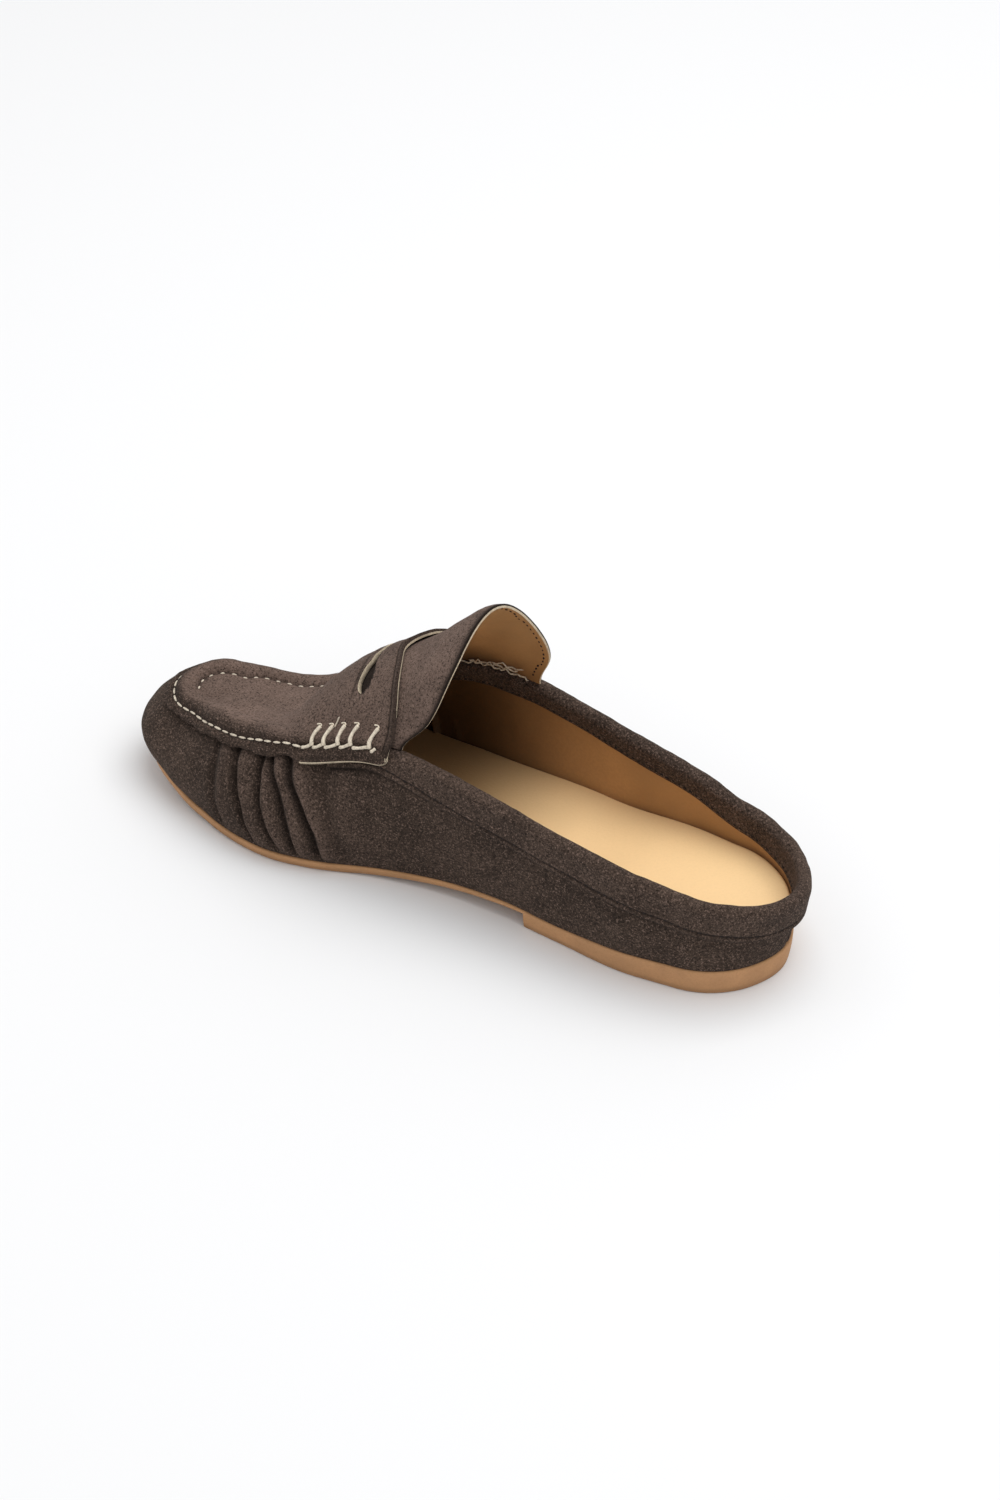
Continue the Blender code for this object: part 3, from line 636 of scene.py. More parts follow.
def linked(name, data):
    """An object in the scene that shows the data."""
    obj = bpy.data.objects.new(name, data)
    bpy.context.scene.collection.objects.link(obj)
    return obj


def new_mesh(name, points, faces, makers, kinds=None, marks=None, crisp=50):
    """An object from faces of four corners, with a material number each and marks for points."""
    listed, kept = plain_faces(np.asarray(faces))
    mesh = bpy.data.meshes.new(name)
    mesh.from_pydata(points.tolist(), [], listed)
    for maker in makers:
        mesh.materials.append(material(maker))
    if kinds is not None:
        mesh.polygons.foreach_set("material_index", np.asarray(kinds, np.int32)[kept])
    for mark, values in (marks or {}).items():
        layer = mesh.attributes.new(mark, "FLOAT", "POINT")
        layer.data.foreach_set("value", np.asarray(values, np.float32))
    mesh.validate()
    mesh.shade_smooth()
    mesh.set_sharp_from_angle(angle=math.radians(crisp))
    return linked(name, mesh)


def closed_skin(name, rings, maker, crisp):
    """A piece of one material through rings of points from pole to pole, once round the shoe."""
    points = np.array(rings)
    faces = grid_faces(*points.shape[:2], closed=True)
    first, _, faces = sewn(points.reshape(-1, 3), faces)
    return new_mesh(name, points.reshape(-1, 3)[first], faces, [maker], crisp=crisp)


class Sheet:
    """Patches of the last's surface that are sewn where they meet and then given a thickness."""

    def __init__(self):
        self.points = []
        self.faces = []
        self.marks = ([], [], [], [], [])

    def add(self, points, over, under, shade=1.0, raw=0.0, nap=0.0, closed=False):
        rows, columns = points.shape[:2]
        count = sum(len(patch) for patch in self.points)
        self.points.append(points.reshape(-1, 3))
        self.faces.append(grid_faces(rows, columns, closed) + count)
        for values, store in zip((over, under, shade, raw, nap), self.marks):
            store.append(np.broadcast_to(values, (rows, columns)).ravel())

    def body(self, name, makers, edge_steps=3, bulge=0.00025):
        """Outer faces take material 0 and inner faces 1. The edges take 0, and 2 on the lower share
        that the raw mark gives, where the undyed leather shows."""
        points = np.concatenate(self.points)
        first, index, faces = sewn(points, np.concatenate(self.faces))
        counts = np.bincount(index)
        points = points[first]
        over, under, shade, raw, nap = (
            np.bincount(index, weights=np.concatenate(values)) / counts for values in self.marks
        )
        normals = point_normals(points, faces)
        size = len(points)
        outer = points + normals * over[:, None]
        inner = points + normals * under[:, None]
        starts, ends = open_edges(faces)
        outward = np.zeros_like(points)
        away = np.cross(points[ends] - points[starts], normals[starts] + normals[ends])
        np.add.at(outward, starts, away)
        np.add.at(outward, ends, away)
        outward = unit(outward)
        rim = np.unique(starts)
        place_in_rim = np.zeros(size, int)
        place_in_rim[rim] = np.arange(len(rim))
        layers = [outer, inner]
        numbers = [np.arange(size)]
        for k in range(1, edge_steps):
            share = k / edge_steps
            line = outer[rim] * (1 - share) + inner[rim] * share
            layers.append(line + outward[rim] * bulge * math.sin(math.pi * share))
            numbers.append(2 * size + (k - 1) * len(rim) + place_in_rim)
        numbers.append(np.arange(size) + size)
        all_faces = [faces, faces[:, ::-1] + size]
        kinds = [np.where(raw[faces].mean(axis=1) > 0.75, 2, 0), np.ones(len(faces), int)]
        dyed = 1 - (raw[starts] + raw[ends]) / 2
        for step, (near, far) in enumerate(zip(numbers[:-1], numbers[1:])):
            all_faces.append(np.stack([near[ends], near[starts], far[starts], far[ends]], axis=-1))
            kinds.append(np.where(step + 0.01 >= dyed * edge_steps, 2, 0))
        marks = {
            "shade": np.concatenate([shade, np.ones(size), np.tile(shade[rim], edge_steps - 1)]),
            "nap": np.concatenate([nap, nap, np.tile(nap[rim], edge_steps - 1)]),
        }
        faces, kinds = np.concatenate(all_faces), np.concatenate(kinds)
        return new_mesh(name, np.concatenate(layers), faces, makers, kinds, marks)


def lumps(points, *grains):
    """Soft unevenness over a grid of points. Each grain is a size, a height and a seed."""
    total = 0.0
    for size, height, seed in grains:
        flat = points.reshape(-1, 3) / size + seed
        values = [noise.noise(Vector(point)) for point in flat.tolist()]
        total = total + height * np.array(values).reshape(points.shape[:-1])
    return total


def half_ways(first, last):
    """Ways from one place to another, close together where the creases and the back seam are."""
    ways = [first]
    while ways[-1] < last:
        way = ways[-1]
        step = 0.0007 if 0.53 * HALF_WAY < way < 0.86 * HALF_WAY else 0.0019
        if way > 0.86 * HALF_WAY:
            step = 0.0012
        if way < 0.003:
            step = 0.0005
        ways.append(way + step)
    if last - ways[-2] < 0.0004:
        ways.pop(-2)
    ways[-1] = last
    return ways


def full_round():
    """Ways once round the shoe, from the toe over the outer side, the heel and the inner side."""
    half = half_ways(0.0, HALF_WAY)
    return [-way for way in reversed(half)] + half[1:-1]


# Nodes


class Socket:
    """A socket of a node tree that can stand in a sum."""

    def __init__(self, nodes, output):
        self.nodes = nodes
        self.output = output

    def math(self, operation, first, second):
        return self.nodes.node("ShaderNodeMath", {"operation": operation}, {0: first, 1: second})

    def __add__(self, other):
        return self.math("ADD", self, other)

    def __radd__(self, other):
        return self.math("ADD", other, self)

    def __sub__(self, other):
        return self.math("SUBTRACT", self, other)

    def __rsub__(self, other):
        return self.math("SUBTRACT", other, self)

    def __mul__(self, other):
        return self.math("MULTIPLY", self, other)

    def __rmul__(self, other):
        return self.math("MULTIPLY", other, self)


class Nodes:
    """A node tree, and the one way to add a node to it."""

    def __init__(self, tree):
        self.tree = tree

    def node(self, kind, settings=None, values=None, output=0):
        """Adds a node, with its settings first and then the values or links of its sockets."""
        made = self.tree.nodes.new(kind)
        for name, value in (settings or {}).items():
            setattr(made, name, value)
        for name, value in (values or {}).items():
            self.join(value, made.inputs[name])
        return Socket(self, made.outputs[output])

    def join(self, value, socket):
        if isinstance(value, Socket):
            self.tree.links.new(value.output, socket)
        else:
            socket.default_value = value


class Recipe(Nodes):
    """The nodes of one material."""

    def __init__(self, name, roughness, specular=0.5):
        self.material = bpy.data.materials.new(name)
        self.material.use_nodes = True
        super().__init__(self.material.node_tree)
        self.shader = self.tree.nodes["Principled BSDF"]
        self.shader.inputs["Roughness"].default_value = roughness
        self.shader.inputs["Specular IOR Level"].default_value = specular
        self.place = self.node("ShaderNodeTexCoord", output="Object")

    def noise(self, scale, detail=2.0, roughness=0.6, stretch=None):
        place = self.place
        if stretch:
            settings = {"operation": "MULTIPLY"}
            place = self.node("ShaderNodeVectorMath", settings, {0: place, 1: stretch})
        values = {"Vector": place, "Scale": scale, "Detail": detail, "Roughness": roughness}
        return self.node("ShaderNodeTexNoise", None, values)

    def spread(self, value, low, high, to_low=0.0, to_high=1.0):
        """The value from low to high as one from to_low to to_high, held at its ends."""
        settings = {"interpolation_type": "SMOOTHSTEP"}
        values = {0: value, 1: low, 2: high, 3: to_low, 4: to_high}
        return self.node("ShaderNodeMapRange", settings, values)

    def mix(self, factor, first, second):
        first, second = ((*c, 1.0) if isinstance(c, tuple) else c for c in (first, second))
        values = {0: factor, 6: first, 7: second}
        return self.node("ShaderNodeMix", {"data_type": "RGBA"}, values, output=2)

    def mark(self, name):
        return self.node("ShaderNodeAttribute", {"attribute_name": name}, output="Fac")

    def axis(self, letter):
        return self.node("ShaderNodeSeparateXYZ", None, {0: self.place}, output=letter)

    def bump(self, height, distance, strength):
        values = {"Height": height, "Distance": distance, "Strength": strength}
        return self.node("ShaderNodeBump", None, values)

    def finish(self, colour=None, roughness=None, normal=None):
        for value, name in ((colour, "Base Color"), (roughness, "Roughness"), (normal, "Normal")):
            if value is not None:
                self.join(value, self.shader.inputs[name])
        return self.material


def colour_of(name, share=1.0):
    """A colour of the panel, made darker or lighter by a share."""
    return tuple(min(1.0, part * share) for part in getattr(bpy.context.scene.shoe_colours, name))


def suede():
    """Brushed nap: soft patches where it lies another way, a speckle of fibres, painted shade from
    the shade mark, and paler fields where the nap mark says that the top is brushed flat, or paints
    a highlight on the ridges of the vamp's creases."""
    recipe = Recipe("suede", 0.95, 0.06)
    recipe.shader.inputs["Sheen Weight"].default_value = 0.05
    recipe.shader.inputs["Sheen Roughness"].default_value = 0.5
    recipe.shader.inputs["Sheen Tint"].default_value = (0.95, 0.86, 0.80, 1.0)
    broad = recipe.noise(38, 3.0, 0.6)
    patch = recipe.noise(150, 4.0, 0.65, (1.0, 0.6, 1.3))
    speckle = recipe.noise(1250, 2.0, 0.8)
    fibres = recipe.noise(2800, 2.0, 0.7, (1.0, 1.4, 0.7))
    lie = recipe.spread(0.55 * broad + 0.45 * patch, 0.38, 0.62)
    grain = 0.6 * speckle + 0.4 * fibres
    field = recipe.mix(lie, colour_of("suede", 0.78), colour_of("suede", 1.24))
    paler = recipe.mix(lie, colour_of("brushed_suede", 0.84), colour_of("brushed_suede", 1.14))
    field = recipe.mix(recipe.mark("nap"), field, paler)
    dark_flecks = recipe.spread(grain, 0.37, 0.51, 0.92, 0.0)
    light_flecks = recipe.spread(grain, 0.53, 0.65, 0.0, 0.85)
    dark = recipe.mix(dark_flecks, field, colour_of("suede", 0.20))
    light = recipe.mix(light_flecks, dark, colour_of("brushed_suede", 1.30))
    # The shade mark darkens the suede: painted shade in crease valleys, seams, channels, under the
    # collar's edge and in hidden places, and the darker pressed lines and edges.
    shaded = recipe.mix(recipe.mark("shade"), colour_of("suede", 0.22), light)
    height = 0.55 * speckle + 0.45 * fibres + 0.2 * patch
    return recipe.finish(shaded, None, recipe.bump(height, 0.0010, 0.9))


def hide(recipe, colour, broad, fine, tints, flecks):
    """Colour that changes in broad patches between two tints, with darker flecks. flecks is where
    the fine noise starts and ends, how much shows and how dark."""
    low, high, amount, dark = flecks
    darker, lighter = (colour_of(colour, tint) for tint in tints)
    base = recipe.mix(recipe.spread(broad, 0.3, 0.7), darker, lighter)
    return recipe.mix(recipe.spread(fine, low, high, 0.0, amount), base, colour_of(colour, dark))


def lining():
    """Soft glazed leather with broad creases, with painted deep shade toward the toe."""
    recipe = Recipe("lining_leather", 0.55, 0.35)
    broad = recipe.noise(26, 3.0, 0.5, (1.0, 1.0, 0.5))
    grain = recipe.noise(900, 3.0, 0.6)
    base = hide(recipe, "lining", broad, grain, (0.82, 1.14), (0.35, 0.65, 0.25, 0.75))
    # Painted shade: the lining darkens toward the toe, below 56 to 72 mm up.
    low = recipe.spread(recipe.axis("Z"), 0.056, 0.072, 1.0, 0.0)
    painted_toe_shade = recipe.spread(recipe.axis("X"), -0.030, 0.044, 0.92, 0.0) * low
    base = recipe.mix(painted_toe_shade, base, (0.055, 0.026, 0.010))
    normal = recipe.bump(0.7 * broad + 0.05 * grain, 0.004, 0.35)
    return recipe.finish(base, recipe.spread(broad, 0.3, 0.7, 0.48, 0.62), normal)


def footbed():
    """Smooth pale leather with a fine grain, with painted deep shade toward the toe."""
    recipe = Recipe("footbed_leather", 0.5, 0.3)
    broad = recipe.noise(22, 2.0, 0.5)
    grain = recipe.noise(1100, 3.0, 0.6)
    base = hide(recipe, "footbed", broad, grain, (0.95, 1.04), (0.4, 0.7, 0.12, 0.8))
    # Painted shade: the footbed darkens toward the toe.
    painted_toe_shade = recipe.spread(recipe.axis("X"), -0.030, 0.038, 0.88, 0.0)
    base = recipe.mix(painted_toe_shade, base, (0.20, 0.105, 0.040))
    roughness = recipe.spread(grain, 0.3, 0.7, 0.45, 0.58)
    return recipe.finish(base, roughness, recipe.bump(grain, 0.0002, 0.4))


def rubber():
    """Matt crepe-coloured rubber, a little darker near the floor."""
    recipe = Recipe("sole_rubber", 0.72, 0.35)
    broad = recipe.noise(60, 3.0, 0.6)
    fine = recipe.noise(1300, 3.0, 0.65)
    base = hide(recipe, "rubber", broad, fine, (0.90, 1.08), (0.45, 0.7, 0.3, 0.72))
    floor_line = recipe.spread(recipe.axis("Z"), 0.0012, 0.0034, 0.55, 0.0)
    base = recipe.mix(floor_line, base, colour_of("rubber", 0.62))
    roughness = recipe.spread(fine, 0.3, 0.7, 0.66, 0.82)
    return recipe.finish(base, roughness, recipe.bump(fine, 0.0003, 0.5))


def thread():
    """Waxed thread with a fine twist."""
    recipe = Recipe("thread", 0.7, 0.3)
    twist = recipe.noise(1600, 2.0, 0.6, (1.0, 0.5, 1.0))
    folds = recipe.spread(twist, 0.35, 0.6)
    base = recipe.mix(folds, colour_of("thread", 0.72), colour_of("thread"))
    return recipe.finish(base, None, recipe.bump(twist, 0.0003, 0.8))


def dark_thread():
    recipe = Recipe("dark_thread", 0.85, 0.2)
    twist = recipe.noise(1800, 2.0, 0.6)
    folds = recipe.spread(twist, 0.35, 0.6)
    base = recipe.mix(folds, (0.012, 0.009, 0.008), (0.03, 0.022, 0.02))
    return recipe.finish(base, None, recipe.bump(twist, 0.0002, 0.6))


def raw_edge():
    """Cut leather: pale, fibrous, darker where the dye has run in."""
    recipe = Recipe("raw_edge", 0.9, 0.2)
    fibres = recipe.noise(1400, 3.0, 0.7)
    broad = recipe.noise(220, 3.0, 0.6)
    pale = recipe.spread(fibres, 0.35, 0.6)
    base = recipe.mix(pale, colour_of("raw_edge", 0.70), colour_of("raw_edge"))
    dye = recipe.spread(broad, 0.52, 0.72, 0.0, 0.5)
    base = recipe.mix(dye, base, colour_of("raw_edge", 0.45))
    return recipe.finish(base, None, recipe.bump(fibres, 0.0004, 0.8))


NAMES = {
    suede: "suede",
    lining: "lining_leather",
    footbed: "footbed_leather",
    rubber: "sole_rubber",
    thread: "thread",
    dark_thread: "dark_thread",
    raw_edge: "raw_edge",
}


def material(maker):
    """The material of a maker, made once."""
    return bpy.data.materials.get(NAMES[maker]) or maker()


# Stitches


class Tree(Nodes):
    """A node group that makes geometry, ending in real pieces with one material."""

    def __init__(self, name, inputs):
        super().__init__(bpy.data.node_groups.new(name, "GeometryNodeTree"))
        new_socket = self.tree.interface.new_socket
        new_socket("Geometry", in_out="INPUT", socket_type="NodeSocketGeometry")
        for label, kind, default in inputs:
            socket = new_socket(label, in_out="INPUT", socket_type=kind)
            if default is not None:
                socket.default_value = default
        new_socket("Geometry", in_out="OUTPUT", socket_type="NodeSocketGeometry")
        self.start = self.tree.nodes.new("NodeGroupInput")

    def input(self, label):
        return Socket(self, self.start.outputs[label])

    def end(self, instances, chosen):
        real = self.node("GeometryNodeRealizeInstances", None, {0: instances})
        smooth_faces = self.node("GeometryNodeSetShadeSmooth", None, {0: real})
        values = {0: smooth_faces, "Material": chosen}
        coloured = self.node("GeometryNodeSetMaterial", None, values)
        self.join(coloured, self.tree.nodes.new("NodeGroupOutput").inputs[0])
        return self.tree


def stitch_tree():
    """Short rounded stitches at even distances along a line, turned with it and with its outward
    mark."""
    sockets = [
        (label, "NodeSocketFloat", value)
        for label, value in (
            ("Pitch", 0.0035),
            ("Length", 0.0024),
            ("Width", 0.0008),
            ("Height", 0.0007),
            ("Uneven", 0.1),
        )
    ]
    sockets += [("Seed", "NodeSocketInt", 7), ("Material", "NodeSocketMaterial", None)]
    tree = Tree("stitches_on_a_line", sockets)
    node, given = tree.node, tree.input
    line = node("GeometryNodeMeshToCurve", None, {0: given("Geometry")})
    spacing = {"Curve": line, "Length": given("Pitch")}
    even = node("GeometryNodeResampleCurve", {"mode": "LENGTH"}, spacing)
    vector = {"data_type": "FLOAT_VECTOR"}
    outward = node("GeometryNodeInputNamedAttribute", vector, {"Name": "outward"})
    along = node("GeometryNodeInputTangent")
    first = node("FunctionNodeAlignRotationToVector", {"axis": "X"}, {"Vector": along})
    turned = node(
        "FunctionNodeAlignRotationToVector",
        {"axis": "Z", "pivot_axis": "X"},
        {"Rotation": first, "Vector": outward},
    )
    bead = node("GeometryNodeMeshUVSphere", None, {"Segments": 8, "Rings": 6, "Radius": 0.5})
    shape = {0: given("Length"), 1: given("Width"), 2: given("Height")}
    shape = node("ShaderNodeCombineXYZ", None, shape)
    bead = node("GeometryNodeTransform", None, {"Geometry": bead, "Scale": shape})
    uneven = given("Uneven")
    limits = {"Min": 1.0 - uneven, "Max": 1.0 + uneven, "Seed": given("Seed")}
    scale = node("FunctionNodeRandomValue", {"data_type": "FLOAT"}, limits, output="Value")
    placing = {"Points": even, "Instance": bead, "Rotation": turned, "Scale": scale}
    placed = node("GeometryNodeInstanceOnPoints", None, placing)
    return tree.end(placed, given("Material"))


def line_of_stitches(name, points, outward, values):
    """Runs the stitch tree along a line of points and returns the stitches as a plain mesh."""
    mesh = bpy.data.meshes.new(name + "_line")
    mesh.from_pydata(points.tolist(), [(i, i + 1) for i in range(len(points) - 1)], [])
    layer = mesh.attributes.new("outward", "FLOAT_VECTOR", "POINT")
    layer.data.foreach_set("vector", outward.astype(np.float32).ravel())
    line = linked(name + "_line", mesh)
    group = bpy.data.node_groups.get("stitches_on_a_line") or stitch_tree()
    modifier = line.modifiers.new("stitches", "NODES")
    modifier.node_group = group
    for item in group.interface.items_tree:
        if item.in_out == "INPUT" and item.name in values:
            modifier[item.identifier] = values[item.name]
    graph = bpy.context.evaluated_depsgraph_get()
    made = bpy.data.meshes.new_from_object(line.evaluated_get(graph))
    made.name = name
    bpy.data.objects.remove(line)
    bpy.data.meshes.remove(mesh)
    return linked(name, made)


def tube(points, radii, sides=8):
    """Points and faces of a thread along a line, closed at both ends."""
    points = np.asarray(points, float)
    along = unit(np.gradient(points, axis=0))
    across = unit(np.cross(along, np.array([0.31, 0.22, 0.92])))
    third = np.cross(along, across)
    angles = np.linspace(0, 2 * math.pi, sides, endpoint=False)[None, :, None]
    radii = np.asarray(radii, float).copy()
    radii[0] = radii[-1] = 0.0
    circle = np.cos(angles) * across[:, None] + np.sin(angles) * third[:, None]
    ring = points[:, None] + radii[:, None, None] * circle
    return ring.reshape(-1, 3), grid_faces(len(points), sides, tube=True)


def threads(name, lines):
    """Several cream threads as one mesh. Each line is its points and its radii."""
    points, faces, count = [], [], 0
    for line, radii in lines:
        ring, corners = tube(line, radii)
        points.append(ring)
        faces.append(corners + count)
        count += len(ring)
    points = np.concatenate(points)
    first, _, faces = sewn(points, np.concatenate(faces))
    return new_mesh(name, points[first], faces, [thread], crisp=180)


# The pieces


def dress(obj, node, replaced=True):
    """Puts a finished piece on the shoe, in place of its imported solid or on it."""
    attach(obj, "root")
    if replaced:
        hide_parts(node)


def flat_ground(_along):
    return 0.0


def sole_profile(station, ground):
    """Reach and height from the middle of the underside round the edge to the middle of the top."""
    reach = station.reach
    low = ground(station.along_at(reach))
    high = sole_top(station.along_at(reach))
    tucked = reach - SOLE_TUCK
    turns = [
        (SOLE_ROUND * (1 - math.sin(turn)), SOLE_ROUND * (1 - math.cos(turn)))
        for turn in CURVE_QUARTER
    ]
    under = [share * tucked for share in (0.0, 0.25, 0.5, 0.75, 0.9)]
    rows = [(place, ground(station.along_at(place))) for place in under]
    rows += [(tucked - back, low + up) for back, up in turns]
    rise = high - low - 2 * SOLE_ROUND
    for share in (0.25, 0.5, 0.75):
        swell = SOLE_SWELL * math.sin(math.pi * share)
        rows.append((tucked + SOLE_TUCK * share + swell, low + SOLE_ROUND + share * rise))
    rows += [(reach - up, high - back) for back, up in turns]
    rows += [(place, sole_top(station.along_at(place))) for place in under[3::-1]]
    return np.array(rows)


def make_outsole():
    """Sole unit with its heel block, which ends in an upright breast."""
    breast = path_of(HEEL_LENGTH)
    grounds = (flat_ground, sole_bottom)
    ways = [way for way in full_round() if abs(abs(way) - breast) > 0.0004]
    stations = [(way, grounds[abs(way) >= breast]) for way in ways]
    stations += [(side * breast, ground) for side in (1, -1) for ground in grounds]
    stations.sort(key=lambda item: (item[0], (item[1] is sole_bottom) == (item[0] > 0)))
    rings = []
    for way, ground in stations:
        station = Station(way)
        rings.append(station.places(*sole_profile(station, ground).T))
    dress(closed_skin("sole_unit", rings, rubber, 45), "outsole")


def insole_profile(station):
    """Reach and height from the middle of the underside round the edge to the middle of the top."""
    low = station.edge()[1]
    high = footbed_top(station.along_at(station.reach - WALL))
    middle = (low + high) / 2
    bevel = 0.25 * FOOTBED
    bottom, waist, below, shoulder = (
        station.reach_inside(height, CURVED_GAP) for height in (low, middle, high - bevel, high)
    )
    shoulder = min(below, shoulder)
    rows = [(s * bottom, sole_top(station.along_at(s * bottom)) + GAP) for s in (0.0, 0.5)]
    rows += [(bottom, low), (waist, middle)]
    for turn in np.radians((0, 22, 45, 67, 90)):
        rows.append((shoulder - bevel * (1 - math.cos(turn)), high - bevel * (1 - math.sin(turn))))
    for reach in (shoulder - bevel) * np.linspace(0.95, 0.0, 12):
        rows.append((reach, footbed_top(station.along_at(reach))))
    return np.array(rows)


def make_insole():
    stations = [Station(way) for way in full_round()]
    rings = [station.places(*insole_profile(station).T) for station in stations]
    dress(closed_skin("footbed", rings, footbed, 60), "insole")


def pleat_relief(way, share):
    """Height of the creases at a way round the shoe, for shares of the wall's height, with the
    painted shade of their valleys and the painted highlight of their ridges, given through the nap
    mark."""
    relief, shade, nap = np.zeros_like(share), np.ones_like(share), np.zeros_like(share)
    path = abs(way) + (0.0 if way >= 0 else 0.004)
    side = 1.0 if way >= 0 else 0.85
    for number, (height, width, *lines) in enumerate(PLEATS):
        ridge_at = np.interp(share, np.linspace(0, 1, len(lines)), lines[::-1]) * HALF_WAY
        ridge_at = ridge_at + 0.0004 * np.sin(8 * share + 2.1 * number)
        ridge_at = ridge_at + 0.0001 * np.sin(23 * share + number)
        away = (ridge_at - path) / (FOLD_WIDTH * width)
        ridge = bell(away, 0, np.where(away > 0, 1.45, 0.55))
        valley = bell(away, -0.95, 0.50)
        low = smooth(0.0, 0.10, share) * side * height
        outward = 1 - smooth(0.80, 0.90, share)
        relief += FOLD_HEIGHT * low * (0.80 * ridge * outward - 1.25 * valley)
        shade -= 0.70 * valley * low
        # Painted highlight: the ridges' crests turn paler through the nap mark.
        nap += 0.32 * ridge * low
    return relief * sizes().fold_strength, np.clip(shade, 0.0, 1.0), np.clip(nap, 0.0, 0.4)


def quarter_lines(station, shares):
    """Depth of the back seam, and the shade in it and just below the collar's edge."""
    back_seam = bell(station.way, 0, 0.0007)
    shadow = np.full(len(shares), 1 - 0.7 * back_seam)
    if station.at < COLLAR_END:
        below = station.wall_length[-1] * (1 - shares) - collar_skirt(station.at)
        shadow = shadow * (1 - 0.95 * bell(below, 0.0004, 0.0012))
    return BACK_SEAM_DEPTH * back_seam, shadow


def make_upper():
    """Hollow shell of suede with its lining: the wall all round, and the vamp's top under the
    apron."""
    shares = np.linspace(0, 1, 49)
    ways = full_round()
    points, relief, shade, nap = [], [], [], []
    for way in ways:
        station = Station(way)
        height, dark, ridge_highlight = pleat_relief(way, shares)
        seam, shadow = quarter_lines(station, shares)
        points.append(station.on_wall(shares))
        relief.append(height - seam)
        shade.append(dark * shadow)
        nap.append(ridge_highlight)
    points, relief = np.array(points), np.array(relief)
    hold = smooth(0, 0.12, shares) * (1 - smooth(0.85, 1.0, shares))
    relief = relief + hold * lumps(points, (0.016, 0.0006, 3.1), (0.006, 0.00016, 9.7))
    inside = np.minimum(relief, 0.0) - WALL
    sheet = Sheet()
    sheet.add(points, relief, inside, np.array(shade), nap=np.array(nap), closed=True)
    tops = [way for way in ways if abs(way) >= THROAT_PATH]
    top = []
    for way in [way for way in tops if way > 0] + [way for way in tops if way < 0]:
        station = Station(way).with_arch()
        top.append(station.over_rim(station.span * np.linspace(0, 1, 9)))
    sheet.add(np.array(top), 0.0, -WALL)
    dress(sheet.body("vamp_and_quarters", (suede, lining, raw_edge)), "upper")


def chaikin(points, times=2):
    """An open line with its corners cut."""
    for _ in range(times):
        near = points[:-1] * 0.75 + points[1:] * 0.25
        far = points[:-1] * 0.25 + points[1:] * 0.75
        middle = np.stack([near, far], axis=1).reshape(-1, 2)
        points = np.vstack([points[:1], middle[1:-1], points[-1:]])
    return points


def collar_narrow(along):
    """0 where the collar is full, 1 where it has narrowed under the saddle."""
    return float(smooth(COLLAR_TAPER, SADDLE_EDGE[-1][1] * SHOE_LENGTH, along))


def collar_skirt(along):
    """How far the collar's outer skirt reaches down the wall."""
    return COLLAR_SKIRT_OUT * (1 - 0.45 * collar_narrow(along))


def collar_profile(along):
    """Distance from the rim and offset from the wall's outer face, once round the folded strip, and
    how many of the rows show."""
    radius = COLLAR_THICKNESS / 2
    middle = -WALL / 2
    heel = 1 - float(smooth(0.012, 0.050, along))
    inner = radius * (1 - 0.30 * heel)
    skirt = collar_skirt(along)
    past_heel = float(smooth(0.03, 0.06, along))
    skirt_in = COLLAR_SKIRT_IN * (1 - 0.18 * past_heel * (1 - collar_narrow(along)))
    flat = middle + 1.02 * radius
    row = COLLAR_ROW_OUT - skirt
    rows = [
        (-skirt, CURVED_GAP),
        (-skirt, CURVED_GAP + COLLAR_EDGE),
        (-0.9 * skirt, CURVED_GAP + 1.15 * COLLAR_EDGE),
        (row - 0.0007, flat),
        (row, flat - 0.0005),
        (row + 0.0007, flat),
        (-0.4 * skirt, middle + 0.95 * radius),
    ]
    for k in range(7):
        angle = math.pi * k / 6
        size = radius if k < 3 else inner
        rows.append((radius * math.sin(angle), middle + size * math.cos(angle)))
    inside = -WALL - CURVED_GAP
    rows.append((-0.4 * skirt_in, middle - 0.95 * inner))
    rows += [(-skirt_in, inside - COLLAR_EDGE), (-skirt_in, inside)]
    shown = chaikin(np.array(rows))
    hidden = [(-0.5 * skirt_in, inside), (GAP, inside)]
    hidden += [(GAP, CURVED_GAP), (-0.5 * skirt, CURVED_GAP)]
    return np.vstack([shown, hidden]), len(shown)


def beside_wall(station, distance, offset):
    """Points at distances along the wall's line from the rim and offsets out from its face."""
    step = 0.0005
    low = np.minimum(distance, 0.0)
    above = np.array(station.from_rim(np.minimum(low + step, 0.0)))
    below = np.array(station.from_rim(np.minimum(low, -step)))
    up = unit(above - below, axis=0)
    base = np.array(station.from_rim(low)) + up * np.maximum(distance, 0.0)
    return station.places(base[0] + up[1] * offset, base[1] - up[0] * offset)


def collar_ways():
    steps = 118
    half = [path_of(COLLAR_END) * k / steps for k in range(steps + 1)]
    return [-way for way in reversed(half)] + half[1:]


